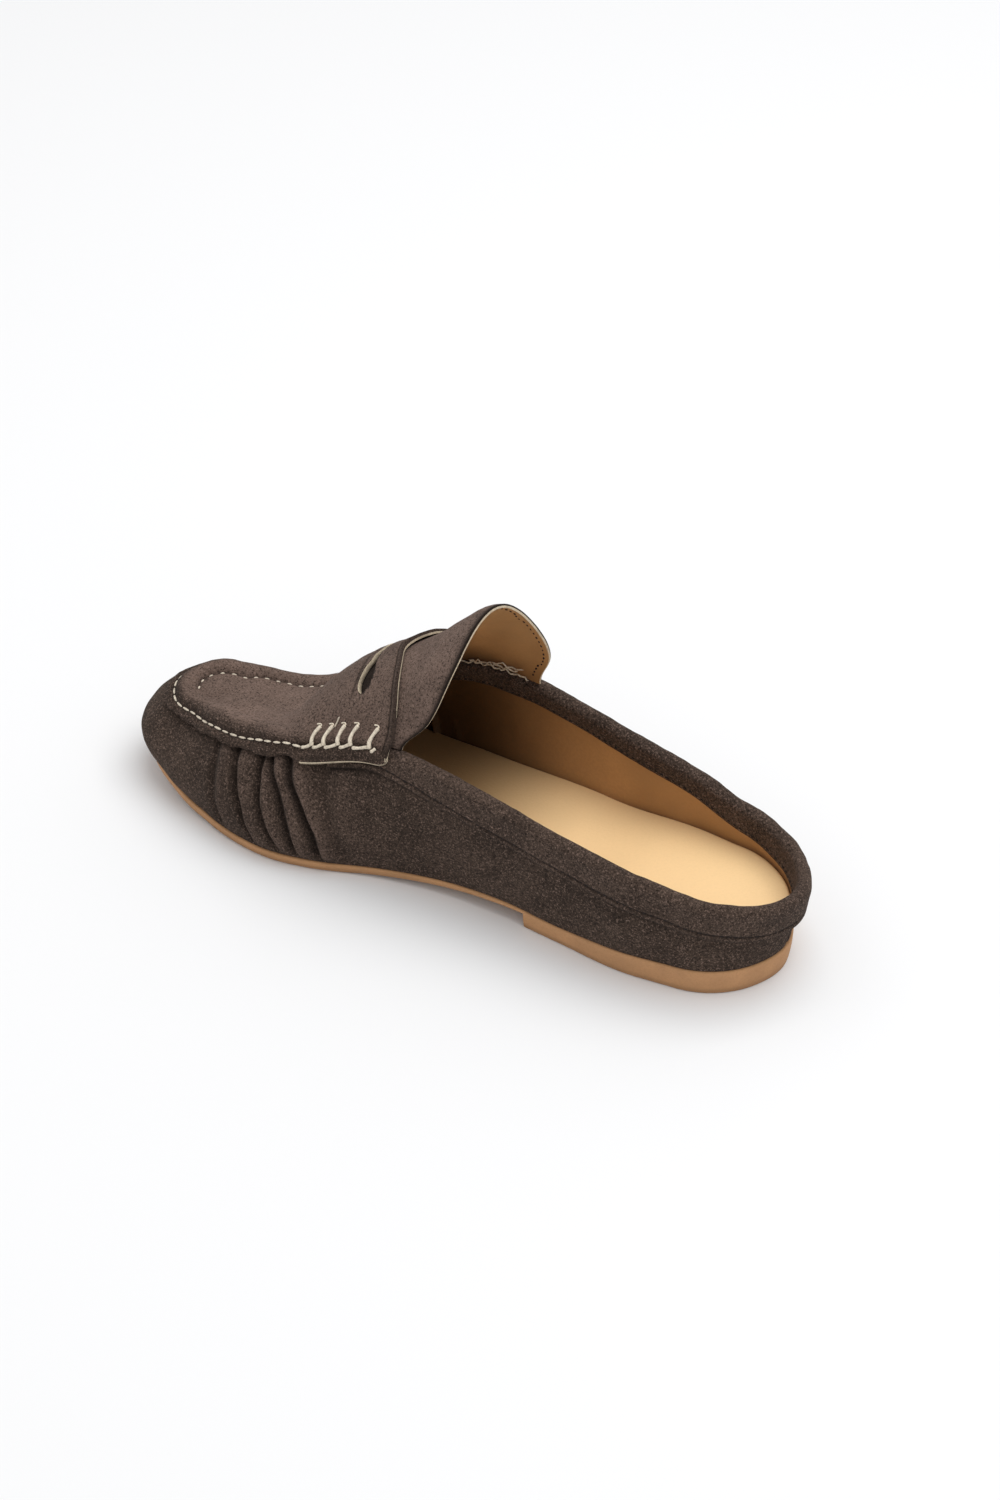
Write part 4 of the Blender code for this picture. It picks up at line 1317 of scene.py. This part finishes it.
def make_collar():
    """Padded strip folded over the upper's edge, from saddle to saddle round the heel."""
    rings, shade = [], []
    for way in collar_ways():
        station = Station(way)
        profile, shown = collar_profile(station.at)
        rings.append(beside_wall(station, profile[:, 0], profile[:, 1]))
        # Painted shade along the skirt's lower edge and in the groove of its stitch row, on the
        # outer face.
        above = profile[:, 0] - profile[0, 0]
        dark = 0.95 * bell(above, 0, 0.0006) + 0.65 * bell(above, COLLAR_ROW_OUT, 0.0005)
        shade.append(1 - dark * (profile[:, 1] > 0))
    rings, shade = np.array(rings), np.array(shade)
    count, columns = rings.shape[:2]
    faces = grid_faces(count, columns, tube=True)
    normals = point_normals(rings.reshape(-1, 3), faces).reshape(rings.shape)
    soft = np.sin(np.pi * np.clip(np.arange(columns) / (shown - 1), 0, 1)) ** 0.5
    uneven = lumps(rings, (0.012, 0.0004, 5.3), (0.004, 0.0002, 1.9))
    rings = rings + normals * (uneven * soft)[..., None]
    points = np.vstack([rings.reshape(-1, 3), rings[0].mean(axis=0), rings[-1].mean(axis=0)])
    last = (count - 1) * columns
    caps = []
    for k in range(columns):
        after = (k + 1) % columns
        caps.append([len(points) - 2, after, k, k])
        caps.append([len(points) - 1, last + k, last + after, last + after])
    faces = np.concatenate([faces, np.array(caps)])
    marks = {"shade": np.append(shade.ravel(), (1.0, 1.0)), "nap": np.full(len(points), 0.1)}
    dress(new_mesh("padded_collar", points, faces, [suede], marks=marks), "collar")


def tongue_grid(rows, columns):
    """Points of the tongue from the inner side over to the outer side, and from the throat to its
    free edge."""
    front = THROAT - GAP
    seat = COLLAR_THICKNESS / 2 + 2 * GAP
    grid = []
    for across in np.linspace(-1, 1, columns):
        side = INNER if across < 0 else OUTER
        back = tongue_edge(across)
        line = []
        for share in np.linspace(0, 1, rows):
            station = Station(side * path_of(front + (back - front) * share)).with_arch()
            line.append(station.over_rim(seat + (station.span - seat) * (1 - abs(across))))
        grid.append(line)
    return np.array(grid)


def make_tongue():
    """Arched tongue: suede over leather, with a cut edge."""
    points = tongue_grid(34, 81)
    crease = lumps(points, (0.013, 0.0007, 2.2), (0.005, 0.00015, 4.4))
    edge = 1 - np.linspace(0, 1, points.shape[1])[None, :]
    crease = crease * (1 - 0.7 * smooth(0.9, 1.0, 1 - edge))
    line = bell(edge, 0, 0.035)
    shade = 1 - 0.5 * line - 0.45 * bell(edge, 0, 0.012)
    # Painted shadow: the tongue goes near black under the saddle, where it shows through the slot.
    along = SHOE_LENGTH / 2 + OFFSET[0] - points[..., 0]
    saddle_shadow = smooth(0.606 * SHOE_LENGTH, 0.616 * SHOE_LENGTH, along)
    shade = shade * (1 - 0.92 * saddle_shadow)
    sheet = Sheet()
    over = crease - TONGUE_LINE_DEPTH * line
    sheet.add(points, over, crease - TONGUE_THICKNESS, shade, raw=0.6, nap=0.8)
    dress(sheet.body("arched_tongue", (suede, lining, raw_edge), 6), "tongue")


def lip_width(station):
    """How far the apron hangs below the seam: a lip round the toe, a rounded tab at the saddle."""
    along = station.at
    tab = 1.0 - smooth(TAB_FRONT, TAB_FRONT + 0.0035, along)
    level = smooth(SADDLE_BACK, TAB_FRONT, along)
    turned = min(max((along - SADDLE_BACK) / TAB_CORNER, 0.0), 1.0)
    corner = max(math.sqrt(1 - (1 - turned) ** 2), 0.12)
    pucker = 0.45 * bell(along, TAB_FRONT + 0.0075, 0.0035)
    wave = 0.08 * math.sin(station.path * 420 + station.side) + 0.05 * math.sin(station.path * 1130)
    width = LIP * (1 - pucker + wave * (1 - tab)) * (1 - tab) + TAB_LIP * (1 + 0.6 * level) * tab
    return float(width * corner)


def roll_share(along):
    """Height of the roll: full round the toe, lower under the tab, none at the saddle's back."""
    tab = smooth(TAB_FRONT, TAB_FRONT + 0.06 * SHOE_LENGTH, along)
    rear = smooth(SADDLE_BACK, SADDLE_BACK + 0.03 * SHOE_LENGTH, along)
    return float(rear * (0.30 + 0.70 * tab))


def apron_lift(along, distance):
    """Clearance under the apron: the collar's skirt and padding pass beneath the tab."""
    proud = COLLAR_THICKNESS / 2 - WALL / 2
    past = COLLAR_END + WALL
    over_collar = 1 - smooth(past, past + 6 * proud, along)
    beside_collar = 1 - smooth(0.3 * proud, 4 * proud, distance)
    return CURVED_GAP + proud * over_collar * beside_collar


def saddle_shift(along, over):
    """Place of an apron section drawn to the saddle's back edge, at a share over the arch."""
    drawn = (TAB_FRONT - saddle_edge(over)) / (TAB_FRONT - SADDLE_BACK)
    return TAB_FRONT - drawn * (TAB_FRONT - along)


def seam_ways():
    """Ways of the apron's stations, from its inner tab round the toe to its outer tab."""
    first = path_of(SADDLE_BACK)
    close = (0.0, 0.0003, 0.0007, 0.0011, 0.0015, 0.0019, 0.0023, 0.0028, 0.0033)
    half = [first + step for step in close]
    while half[-1] < HALF_WAY - 0.001:
        half.append(half[-1] + 0.00085)
    half[-1] = HALF_WAY
    return half + [-way for way in reversed(half[:-1])]


def seam_offset(station):
    """Distance of the stitch row from the seam's line: it jogs up, then rises over the tab."""
    tab = 1.0 - smooth(TAB_FRONT, TAB_FRONT + 0.004, station.at)
    jog = bell(station.at, TAB_FRONT + 0.008, 0.003)
    level = 0.0018 + 0.0008 * max(TAB_FRONT - station.at, 0.0) / 0.026
    before = 0.0012 * (1 - smooth(TAB_FRONT + 0.010, TAB_FRONT + 0.028, station.at))
    return float(0.0007 * jog + level * tab + before * (1 - tab))


def roll_width(station):
    """The roll is a little wider along the outer side than along the inner."""
    if station.side == INNER:
        return ROLL_WIDTH
    return ROLL_WIDTH + 0.001 * (1 - float(smooth(0.90, 1.0, station.path / HALF_WAY)))


def inner_row(station):
    """Where the inner channel shows: round the toe's tip and along the outer side."""
    if station.side == OUTER:
        return 1.0
    return float(smooth(0.925, 0.975, station.path / HALF_WAY))


def row_distances(station):
    """Distances from the seam of the apron's rows, from the lip to the crest."""
    lip = [-lip_width(station) * share for share in (1.0, 0.9, 0.75, 0.6, 0.45, 0.3, 0.15)]
    roll = list(np.arange(0.0, ROLL_WIDTH + 0.0030, 0.00045))
    top = [roll[-1] + (station.span - roll[-1]) * share for share in np.linspace(0, 1, 16)[1:]]
    return np.array(lip + roll + top)


def apron_relief(station, distance, run, back):
    """Height of the roll, channels, puckers and edge lines over the apron's even thickness, and
    their shade. run is the way along the seam, back the way from the saddle's back edge."""
    share = roll_share(station.at)
    width = roll_width(station)
    showing = share * inner_row(station)
    height = sizes().roll_height * share * (1.0 if station.side == INNER else 0.9)
    roll = height * np.sin(math.pi * np.clip(distance / width, 0, 1) ** 0.85) ** 1.1
    row = seam_offset(station)
    ends = smooth(0.0, 0.004, back)
    channel = bell(distance, row, 0.00075) * ends
    inner = bell(distance, width, 0.0009) * showing
    wave = math.cos(2 * math.pi * run / sizes().stitch_pitch)
    pucker = 0.00016 * wave * bell(np.abs(distance - row), 0.0013, 0.0011) * ends
    wave = math.cos(2 * math.pi * run / BEAD_PITCH)
    beads = 0.00045 * wave * showing * bell(distance, width - 0.0018, 0.0014)
    high = smooth(0.0, 0.004, distance)
    line = bell(back, SADDLE_LINE, 0.0004) * high
    tab = 1.0 - smooth(TAB_FRONT - 0.001, TAB_FRONT + 0.001, station.at)
    hang = distance + lip_width(station)
    low_line = bell(hang, TAB_LINE, 0.0004) * tab * ends
    relief = roll - CHANNEL_DEPTH * channel - INNER_CHANNEL_DEPTH * inner + pucker + beads
    relief = relief - 0.0004 * line - 0.0003 * low_line - 0.00055 * np.exp(-hang / 0.0007)
    # Painted shade in the stitch channel and along the inner channel.
    band = bell(back, 0, 0.0013) * high
    shade = 1 - 0.45 * channel - 0.55 * inner - 0.8 * line - 0.35 * low_line - 0.6 * band
    return relief, np.clip(shade, 0, 1)


def slot_middle(share):
    """Place of the slot's middle at a share of the way from its foot to the crest."""
    return SLOT_FOOT + (SLOT_AT - SLOT_FOOT) * share


def slot_groove(station, over):
    """A pressed line beside the saddle's slot, on its toe side."""
    inside = smooth(SLOT_FROM - 0.12, SLOT_FROM + 0.05, over)
    middle = slot_middle(max(over - SLOT_FROM, 0) / (1 - SLOT_FROM))
    return float(inside * bell(station.at, middle + 0.0036, 0.0006))


def make_apron():
    """Overlay of the toe with its raised roll and lip, drawn out into the saddle and its two
    tabs."""
    ways = seam_ways()
    seam = np.array([Station(way).over_rim(np.array([0.0]))[0] for way in ways])
    steps = np.linalg.norm(np.diff(seam, axis=0), axis=1)
    rows = []
    for way, run in zip(ways, np.concatenate([[0.0], np.cumsum(steps)])):
        station = Station(way).with_arch()
        distances = row_distances(station)
        back = abs(way) - ways[0]
        relief, dark = apron_relief(station, distances, run, back)
        if station.at >= TAB_FRONT:
            line, lift = station.over_rim(distances), apron_lift(station.at, distances)
        else:
            line, lift = [], []
            for k, distance in enumerate(distances):
                share = max(distance, 0.0) / station.span
                shifted = path_of(saddle_shift(station.at, share))
                moved = Station(station.side * shifted).with_arch()
                reach = row_distances(moved)[k]
                line.append(moved.over_rim(reach))
                lift.append(apron_lift(moved.at, reach))
                groove = slot_groove(moved, share)
                relief[k] -= SLOT_LINE_DEPTH * groove
                dark[k] *= 1 - 0.7 * groove
        over_share = distances / station.span
        dyed = smooth(0.05, 0.09, over_share) * (1 - smooth(0.30, 0.36, over_share))
        rim = (np.arange(len(distances)) < 2) | ((back < 0.0006) & (distances < 0.001))
        bare = np.where(rim, 0.8, 0.45 * (1 - dyed)) * float(station.at < TAB_FRONT + 0.001)
        nap = 0.55 + 0.30 * smooth(TAB_FRONT, TAB_FRONT + 0.012, station.at)
        nap = nap * smooth(0.0015, 0.006, distances)
        over = np.array(lift) + APRON_THICKNESS + relief
        rows.append((line, over, lift, dark, bare, nap))
    points, over, under, shade, raw, nap = (np.array(column) for column in zip(*rows))
    uneven = lumps(points, (0.011, 0.0007, 7.7), (0.004, 0.00018, 6.1))
    sheet = Sheet()
    sheet.add(points, over + uneven, under + np.minimum(uneven, 0) * 0.5, shade, raw, nap)
    obj = sheet.body("apron_and_saddle", (suede, suede, raw_edge), 5)
    cut_slot(obj)
    dress(obj, "apron")


def cut_slot(apron):
    """Cuts the saddle's slot through the apron with a lens that follows it over the crest."""
    sheet = Sheet()
    steps = 24
    for side in (INNER, OUTER):
        grid = []
        for k in range(steps + 1):
            swell = math.sin(math.pi * (k / steps) ** 0.62)
            half = 0.5 * SLOT_WIDTH * max(swell, 0.45 if k > steps / 2 else 0.06)
            line = []
            for place in (half, -half):
                station = Station(side * path_of(slot_middle(k / steps) + place)).with_arch()
                share = SLOT_FROM + (1 - SLOT_FROM) * k / steps
                line.append(station.over_rim(share * station.span))
            grid.append(line[:: 1 if side == INNER else -1])
        bare = 0.5 * smooth(0.55, 0.70, np.linspace(0, 1, steps + 1))[:, None]
        depth = -0.5 * TONGUE_THICKNESS
        # shade 0.1 paints the suede walls of the slot in deep shade.
        sheet.add(np.array(grid), 3 * APRON_THICKNESS, depth, shade=0.1, raw=bare)
    cutter = sheet.body("slot_cutter", (raw_edge,) * 3, 2, 0.0)
    modifier = apron.modifiers.new("slot", "BOOLEAN")
    modifier.operation = "DIFFERENCE"
    modifier.object = cutter
    graph = bpy.context.evaluated_depsgraph_get()
    cut = bpy.data.meshes.new_from_object(apron.evaluated_get(graph))
    apron.modifiers.clear()
    apron.data = cut
    bpy.data.objects.remove(cutter)


def surface_of(name):
    """A finished piece's faces, to lay stitches on."""
    mesh = bpy.data.objects[name].data
    corners = [tuple(face.vertices) for face in mesh.polygons]
    return BVHTree.FromPolygons([vertex.co.copy() for vertex in mesh.vertices], corners)


def laid_on(surface, points, outward, lift):
    """The points moved along their way out to a piece's surface, and lifted off it."""
    places = []
    for point, way, height in zip(points, outward, np.broadcast_to(lift, len(points))):
        hit = surface.ray_cast(Vector(point + 0.004 * way), Vector(-way), 0.008)[0]
        places.append((point if hit is None else np.array(hit)) + height * way)
    return np.array(places)


def on_apron(way, distance):
    """A point of the apron's plain outer face, and the way out from it."""
    station = Station(way).with_arch()
    near = station.over_rim(np.array([distance - 0.0004, distance, distance + 0.0004]))
    side = Station(way + 0.0005).over_rim(np.array([distance]))[0]
    back = Station(way - 0.0005).over_rim(np.array([distance]))[0]
    normal = unit(np.cross(near[2] - near[0], side - back))
    height = float(apron_lift(station.at, distance)) + APRON_THICKNESS
    return near[1] + normal * height, normal


def line_on_apron(surface, spots, lift):
    """Points laid on the apron, from ways round the shoe and distances from the seam."""
    found = [on_apron(way, distance) for way, distance in spots]
    points, outward = (np.array(column) for column in zip(*found))
    return laid_on(surface, points, outward, lift), outward


def make_apron_stitches():
    """The row of cream stitches round the apron and the row inside its roll."""
    surface = surface_of("apron_and_saddle")
    width = sizes().thread_width
    values = {"Height": 0.9 * width, "Uneven": 0.10, "Material": material(thread)}
    tab_end = path_of(TAB_FRONT + 0.0025)
    inner_start = -path_of(0.178)
    seam = [(way, seam_offset(Station(way))) for way in seam_ways() if abs(way) > tab_end]
    inner = [way for way in seam_ways() if way < inner_start or way > 0.955 * HALF_WAY]
    inner = [(way, roll_width(Station(way))) for way in inner]
    for name, spots, lift, pitch, length, wide in (
        ("apron_stitches", seam, 0.00028, sizes().stitch_pitch, sizes().stitch_length, width),
        ("roll_stitches", inner, 0.00005, BEAD_PITCH, 0.0019, 0.8 * width),
    ):
        points, outward = line_on_apron(surface, spots, lift)
        values.update(Pitch=pitch, Length=length, Width=wide)
        dress(line_of_stitches(name, points, outward, values), "apron", False)


def thread_on_apron(surface, side, places, lift, radius, steps=18):
    """A thread through places given as place along the shoe and distance from the seam, bedded at
    its ends."""
    knots = np.linspace(0, 1, len(places))
    t = np.linspace(0, 1, steps)
    along, away = ([spline(knots, column, share) for share in t] for column in zip(*places))
    spots = [(side * path_of(at), distance) for at, distance in zip(along, away)]
    lifts = lift * (0.1 + 0.9 * np.sin(math.pi * t).clip(0.0) ** 0.5)
    points, _ = line_on_apron(surface, spots, lifts)
    return points, radius * (1 + 0.10 * np.sin(9 * t + 40 * places[0][0]))


def make_whip_stitches():
    """Five bound stitches on each tab, the long stitches below them, and a loose end of thread."""
    surface = surface_of("apron_and_saddle")
    feet = [at * SHOE_LENGTH for at, _ in WHIPS]
    lines = []
    for side in (INNER, OUTER):
        for at, (_, lean) in zip(feet, WHIPS):
            row = seam_offset(Station(side * path_of(at)))
            top = row + WHIP_RISE
            lean = 0.001 * lean
            places = [
                (at, row - 0.0004),
                (at + 0.0004 + 0.4 * lean, row + 0.35 * WHIP_RISE),
                (at + 0.0001 + 0.8 * lean, row + 0.72 * WHIP_RISE),
                (at - 0.0007 + lean, top),
            ]
            hook = [
                (at - 0.0008 + lean, top),
                (at - 0.0002 + lean, top + 0.0008),
                (at + 0.0014 + lean, top + 0.0007),
            ]
            lines.append(thread_on_apron(surface, side, places, 0.00045, WHIP_RADIUS))
            lines.append(thread_on_apron(surface, side, hook, 0.0002, 0.42 * WHIP_RADIUS, 10))
        ends = [feet[0] + 0.0052, *feet, feet[-1] - 0.0030]
        for near, far in zip(ends[:-1], ends[1:]):
            middle = (near + far) / 2
            row = seam_offset(Station(side * path_of(middle)))
            places = [
                (near - 0.0010, row - 0.0010),
                (middle, row - 0.0007),
                (far + 0.0008, row + 0.0002),
            ]
            lines.append(thread_on_apron(surface, side, places, 0.0003, CHAIN_RADIUS, 12))
    start, outward = on_apron(path_of(feet[1] - 0.0012), WHIP_RISE + 0.0014)
    further, _ = on_apron(path_of(feet[1] - 0.0030), WHIP_RISE + 0.0052)
    steps = np.linspace(0, 1, 10)[:, None]
    loose = start + (further - start) * steps + outward * (0.0004 + 0.0012 * steps**1.5)
    lines.append((loose, np.full(10, LOOSE_RADIUS)))
    dress(threads("tab_stitches", lines), "apron", False)


def collar_rows():
    """Points and ways out of the stitch rows above the collar's outer edge and its inner one."""
    rows = ([], [])
    for way in collar_ways()[3:-3]:
        station = Station(way)
        profile, shown = collar_profile(station.at)
        half = shown // 2
        parts = (profile[2:half], profile[half : shown - 2][::-1])
        above = (COLLAR_ROW_OUT, COLLAR_ROW_IN)
        for store, part, height, sign in zip(rows, parts, above, (1, -1)):
            distance = part[0, 0] + height
            offset = np.interp(distance, part[:, 0], part[:, 1])
            ends = beside_wall(station, np.full(2, distance), offset + np.array([0, sign * 0.001]))
            store.append((ends[0], unit(ends[1] - ends[0])))
    return [tuple(np.array(column) for column in zip(*store)) for store in rows]


def tongue_row(points):
    """Points on the tongue's lining just inside its free edge, and the way down from them."""
    steps = np.linalg.norm(np.diff(points, axis=1), axis=2)
    to_edge = steps[:, ::-1].cumsum(axis=1)[:, ::-1]
    numbers = np.arange(4, len(points) - 4)
    row = np.abs(to_edge - TONGUE_ROW).argmin(axis=1)[numbers]
    along = points[numbers + 1, row] - points[numbers - 1, row]
    up = points[numbers, row + 1] - points[numbers, row - 1]
    normal = unit(np.cross(up, along))
    return points[numbers, row] - normal * TONGUE_THICKNESS, -normal


def make_small_stitches():
    """Small dark stitches along the collar's two edges and inside the tongue's edge."""
    values = {"Pitch": sizes().hole_pitch, "Length": 0.0013, "Width": 0.0007, "Height": 0.0005}
    values.update(Uneven=0.2, Material=material(dark_thread))
    outer, inner = collar_rows()
    for name, line, piece, node in (
        ("collar_stitches", outer, "padded_collar", "collar"),
        ("collar_inner_stitches", inner, "padded_collar", "collar"),
        ("tongue_stitches", tongue_row(tongue_grid(60, 121)), "arched_tongue", "tongue"),
    ):
        points = laid_on(surface_of(piece), *line, 0.00002)
        dress(line_of_stitches(name, points, line[1], values), node, False)


def make_frayed_threads():
    """Frayed cream threads at the throat, where the tongue's lining meets the collar on the outer
    side."""
    points = tongue_grid(60, 121)
    rows = np.arange(24, 56)
    t = np.linspace(0, 1, len(rows))
    lines = []
    for column, pace, first, last in ((-2, 31.0, 0, 32), (-4, 47.0, 5, 27), (-6, 23.0, 14, 29)):
        line = points[column, rows]
        across = points[column - 1, rows] - line
        inward = unit(np.cross(points[column, rows + 1] - line, across))
        sway = 0.0006 * np.sin(pace * t) + 0.0004 * np.sin(2.3 * pace * t + column)
        lift = TONGUE_THICKNESS + 0.0006 + 0.0003 * np.sin(1.7 * pace * t)
        line = (line + sway[:, None] * unit(across) + lift[:, None] * inward)[first:last]
        lines.append((line, np.full(len(line), FRAYED_RADIUS)))
    dress(threads("frayed_threads", lines), "tongue", False)


def make_stage():
    """Pale floor, pale room and soft lights."""
    mesh = bpy.data.meshes.new("floor")
    mesh.from_pydata([(-4, -4, 0), (4, -4, 0), (4, 4, 0), (-4, 4, 0)], [], [(0, 1, 2, 3)])
    recipe = Recipe("floor", 0.9, 0.1)
    recipe.shader.inputs["Base Color"].default_value = (0.86, 0.86, 0.86, 1.0)
    mesh.materials.append(recipe.finish())
    floor = linked("floor", mesh)
    world = bpy.data.worlds.new("pale_room")
    world.use_nodes = True
    background = world.node_tree.nodes["Background"]
    background.inputs["Color"].default_value = (0.98, 0.985, 1.0, 1.0)
    background.inputs["Strength"].default_value = 0.62
    bpy.context.scene.world = world
    bpy.context.scene.view_settings.view_transform = "Standard"
    for name, place, size, power in (
        ("top_light", (0.35, 0.30, 1.7), 1.6, 22.0),
        ("side_light", (-1.3, -0.2, 1.3), 1.4, 2.0),
    ):
        light = bpy.data.lights.new(name, "AREA")
        light.size = size
        light.energy = power
        lamp = linked(name, light)
        lamp.location = place
        lamp.rotation_mode = "QUATERNION"
        lamp.rotation_quaternion = (Vector(place) - Vector((0, 0, 0.03))).to_track_quat("Z", "Y")


def make_camera():
    heading, height = math.radians(CAMERA_HEADING), math.radians(CAMERA_HEIGHT)
    level = math.cos(height)
    back = Vector((math.sin(heading) * level, -math.cos(heading) * level, math.sin(height)))
    camera = bpy.data.cameras.new("camera")
    camera.lens = CAMERA_LENS
    camera.sensor_width = 36.0
    camera.clip_end = 20.0
    obj = linked("camera", camera)
    obj.location = Vector(CAMERA_AIM) + Vector(OFFSET) + back * CAMERA_DISTANCE
    obj.rotation_mode = "QUATERNION"
    obj.rotation_quaternion = (-back).to_track_quat("-Z", "Y")
    bpy.context.scene.camera = obj


# Operators and panel


class LOAFER_OT_outsole(bpy.types.Operator):
    """Make the moulded sole unit"""

    bl_idname = "loafer.outsole"
    bl_label = "Sole Unit"

    def execute(self, _context):
        make_outsole()
        return {"FINISHED"}


class LOAFER_OT_insole(bpy.types.Operator):
    """Make the leather footbed"""

    bl_idname = "loafer.insole"
    bl_label = "Footbed"

    def execute(self, _context):
        make_insole()
        return {"FINISHED"}


class LOAFER_OT_upper(bpy.types.Operator):
    """Make the creased vamp and the quarters with their lining"""

    bl_idname = "loafer.upper"
    bl_label = "Vamp and Quarters"

    def execute(self, _context):
        make_upper()
        return {"FINISHED"}


class LOAFER_OT_collar(bpy.types.Operator):
    """Make the padded collar"""

    bl_idname = "loafer.collar"
    bl_label = "Padded Collar"

    def execute(self, _context):
        make_collar()
        return {"FINISHED"}


class LOAFER_OT_tongue(bpy.types.Operator):
    """Make the arched tongue"""

    bl_idname = "loafer.tongue"
    bl_label = "Tongue"

    def execute(self, _context):
        make_tongue()
        return {"FINISHED"}


class LOAFER_OT_apron(bpy.types.Operator):
    """Make the apron with its roll, lip, saddle and slot"""

    bl_idname = "loafer.apron"
    bl_label = "Apron and Saddle"

    def execute(self, _context):
        make_apron()
        return {"FINISHED"}


class LOAFER_OT_stitches(bpy.types.Operator):
    """Make the stitches of the apron, the tabs, the collar and the tongue, and the frayed ends"""

    bl_idname = "loafer.stitches"
    bl_label = "Stitches"

    def execute(self, _context):
        make_apron_stitches()
        make_whip_stitches()
        make_small_stitches()
        make_frayed_threads()
        return {"FINISHED"}


class LOAFER_OT_stage(bpy.types.Operator):
    """Make the floor, the lights and the camera"""

    bl_idname = "loafer.stage"
    bl_label = "Stage"

    def execute(self, _context):
        make_stage()
        make_camera()
        return {"FINISHED"}


STEPS = (
    LOAFER_OT_outsole,
    LOAFER_OT_insole,
    LOAFER_OT_upper,
    LOAFER_OT_collar,
    LOAFER_OT_tongue,
    LOAFER_OT_apron,
    LOAFER_OT_stitches,
    LOAFER_OT_stage,
)


class LOAFER_PT_panel(bpy.types.Panel):
    """Sizes, colours and steps of the loafer mule"""

    bl_idname = "LOAFER_PT_panel"
    bl_label = "Loafer Mule"
    bl_space_type = "VIEW_3D"
    bl_region_type = "UI"
    bl_category = "Loafer"

    def draw(self, context):
        for group in (context.scene.shoe_sizes, context.scene.shoe_colours):
            for name in type(group).__annotations__:
                self.layout.prop(group, name)
        for step in STEPS:
            self.layout.operator(step.bl_idname)


CLASSES = (ShoeSizes, ShoeColours, *STEPS, LOAFER_PT_panel)


def register():
    for cls in CLASSES:
        bpy.utils.register_class(cls)
    bpy.types.Scene.shoe_sizes = bpy.props.PointerProperty(type=ShoeSizes)
    bpy.types.Scene.shoe_colours = bpy.props.PointerProperty(type=ShoeColours)


def unregister():
    del bpy.types.Scene.shoe_colours
    del bpy.types.Scene.shoe_sizes
    for cls in reversed(CLASSES):
        bpy.utils.unregister_class(cls)


def main():
    register()
    bpy.ops.loafer.outsole()
    bpy.ops.loafer.insole()
    bpy.ops.loafer.upper()
    bpy.ops.loafer.collar()
    bpy.ops.loafer.tongue()
    bpy.ops.loafer.apron()
    bpy.ops.loafer.stitches()
    bpy.ops.loafer.stage()


if __name__ == "__main__":
    main()
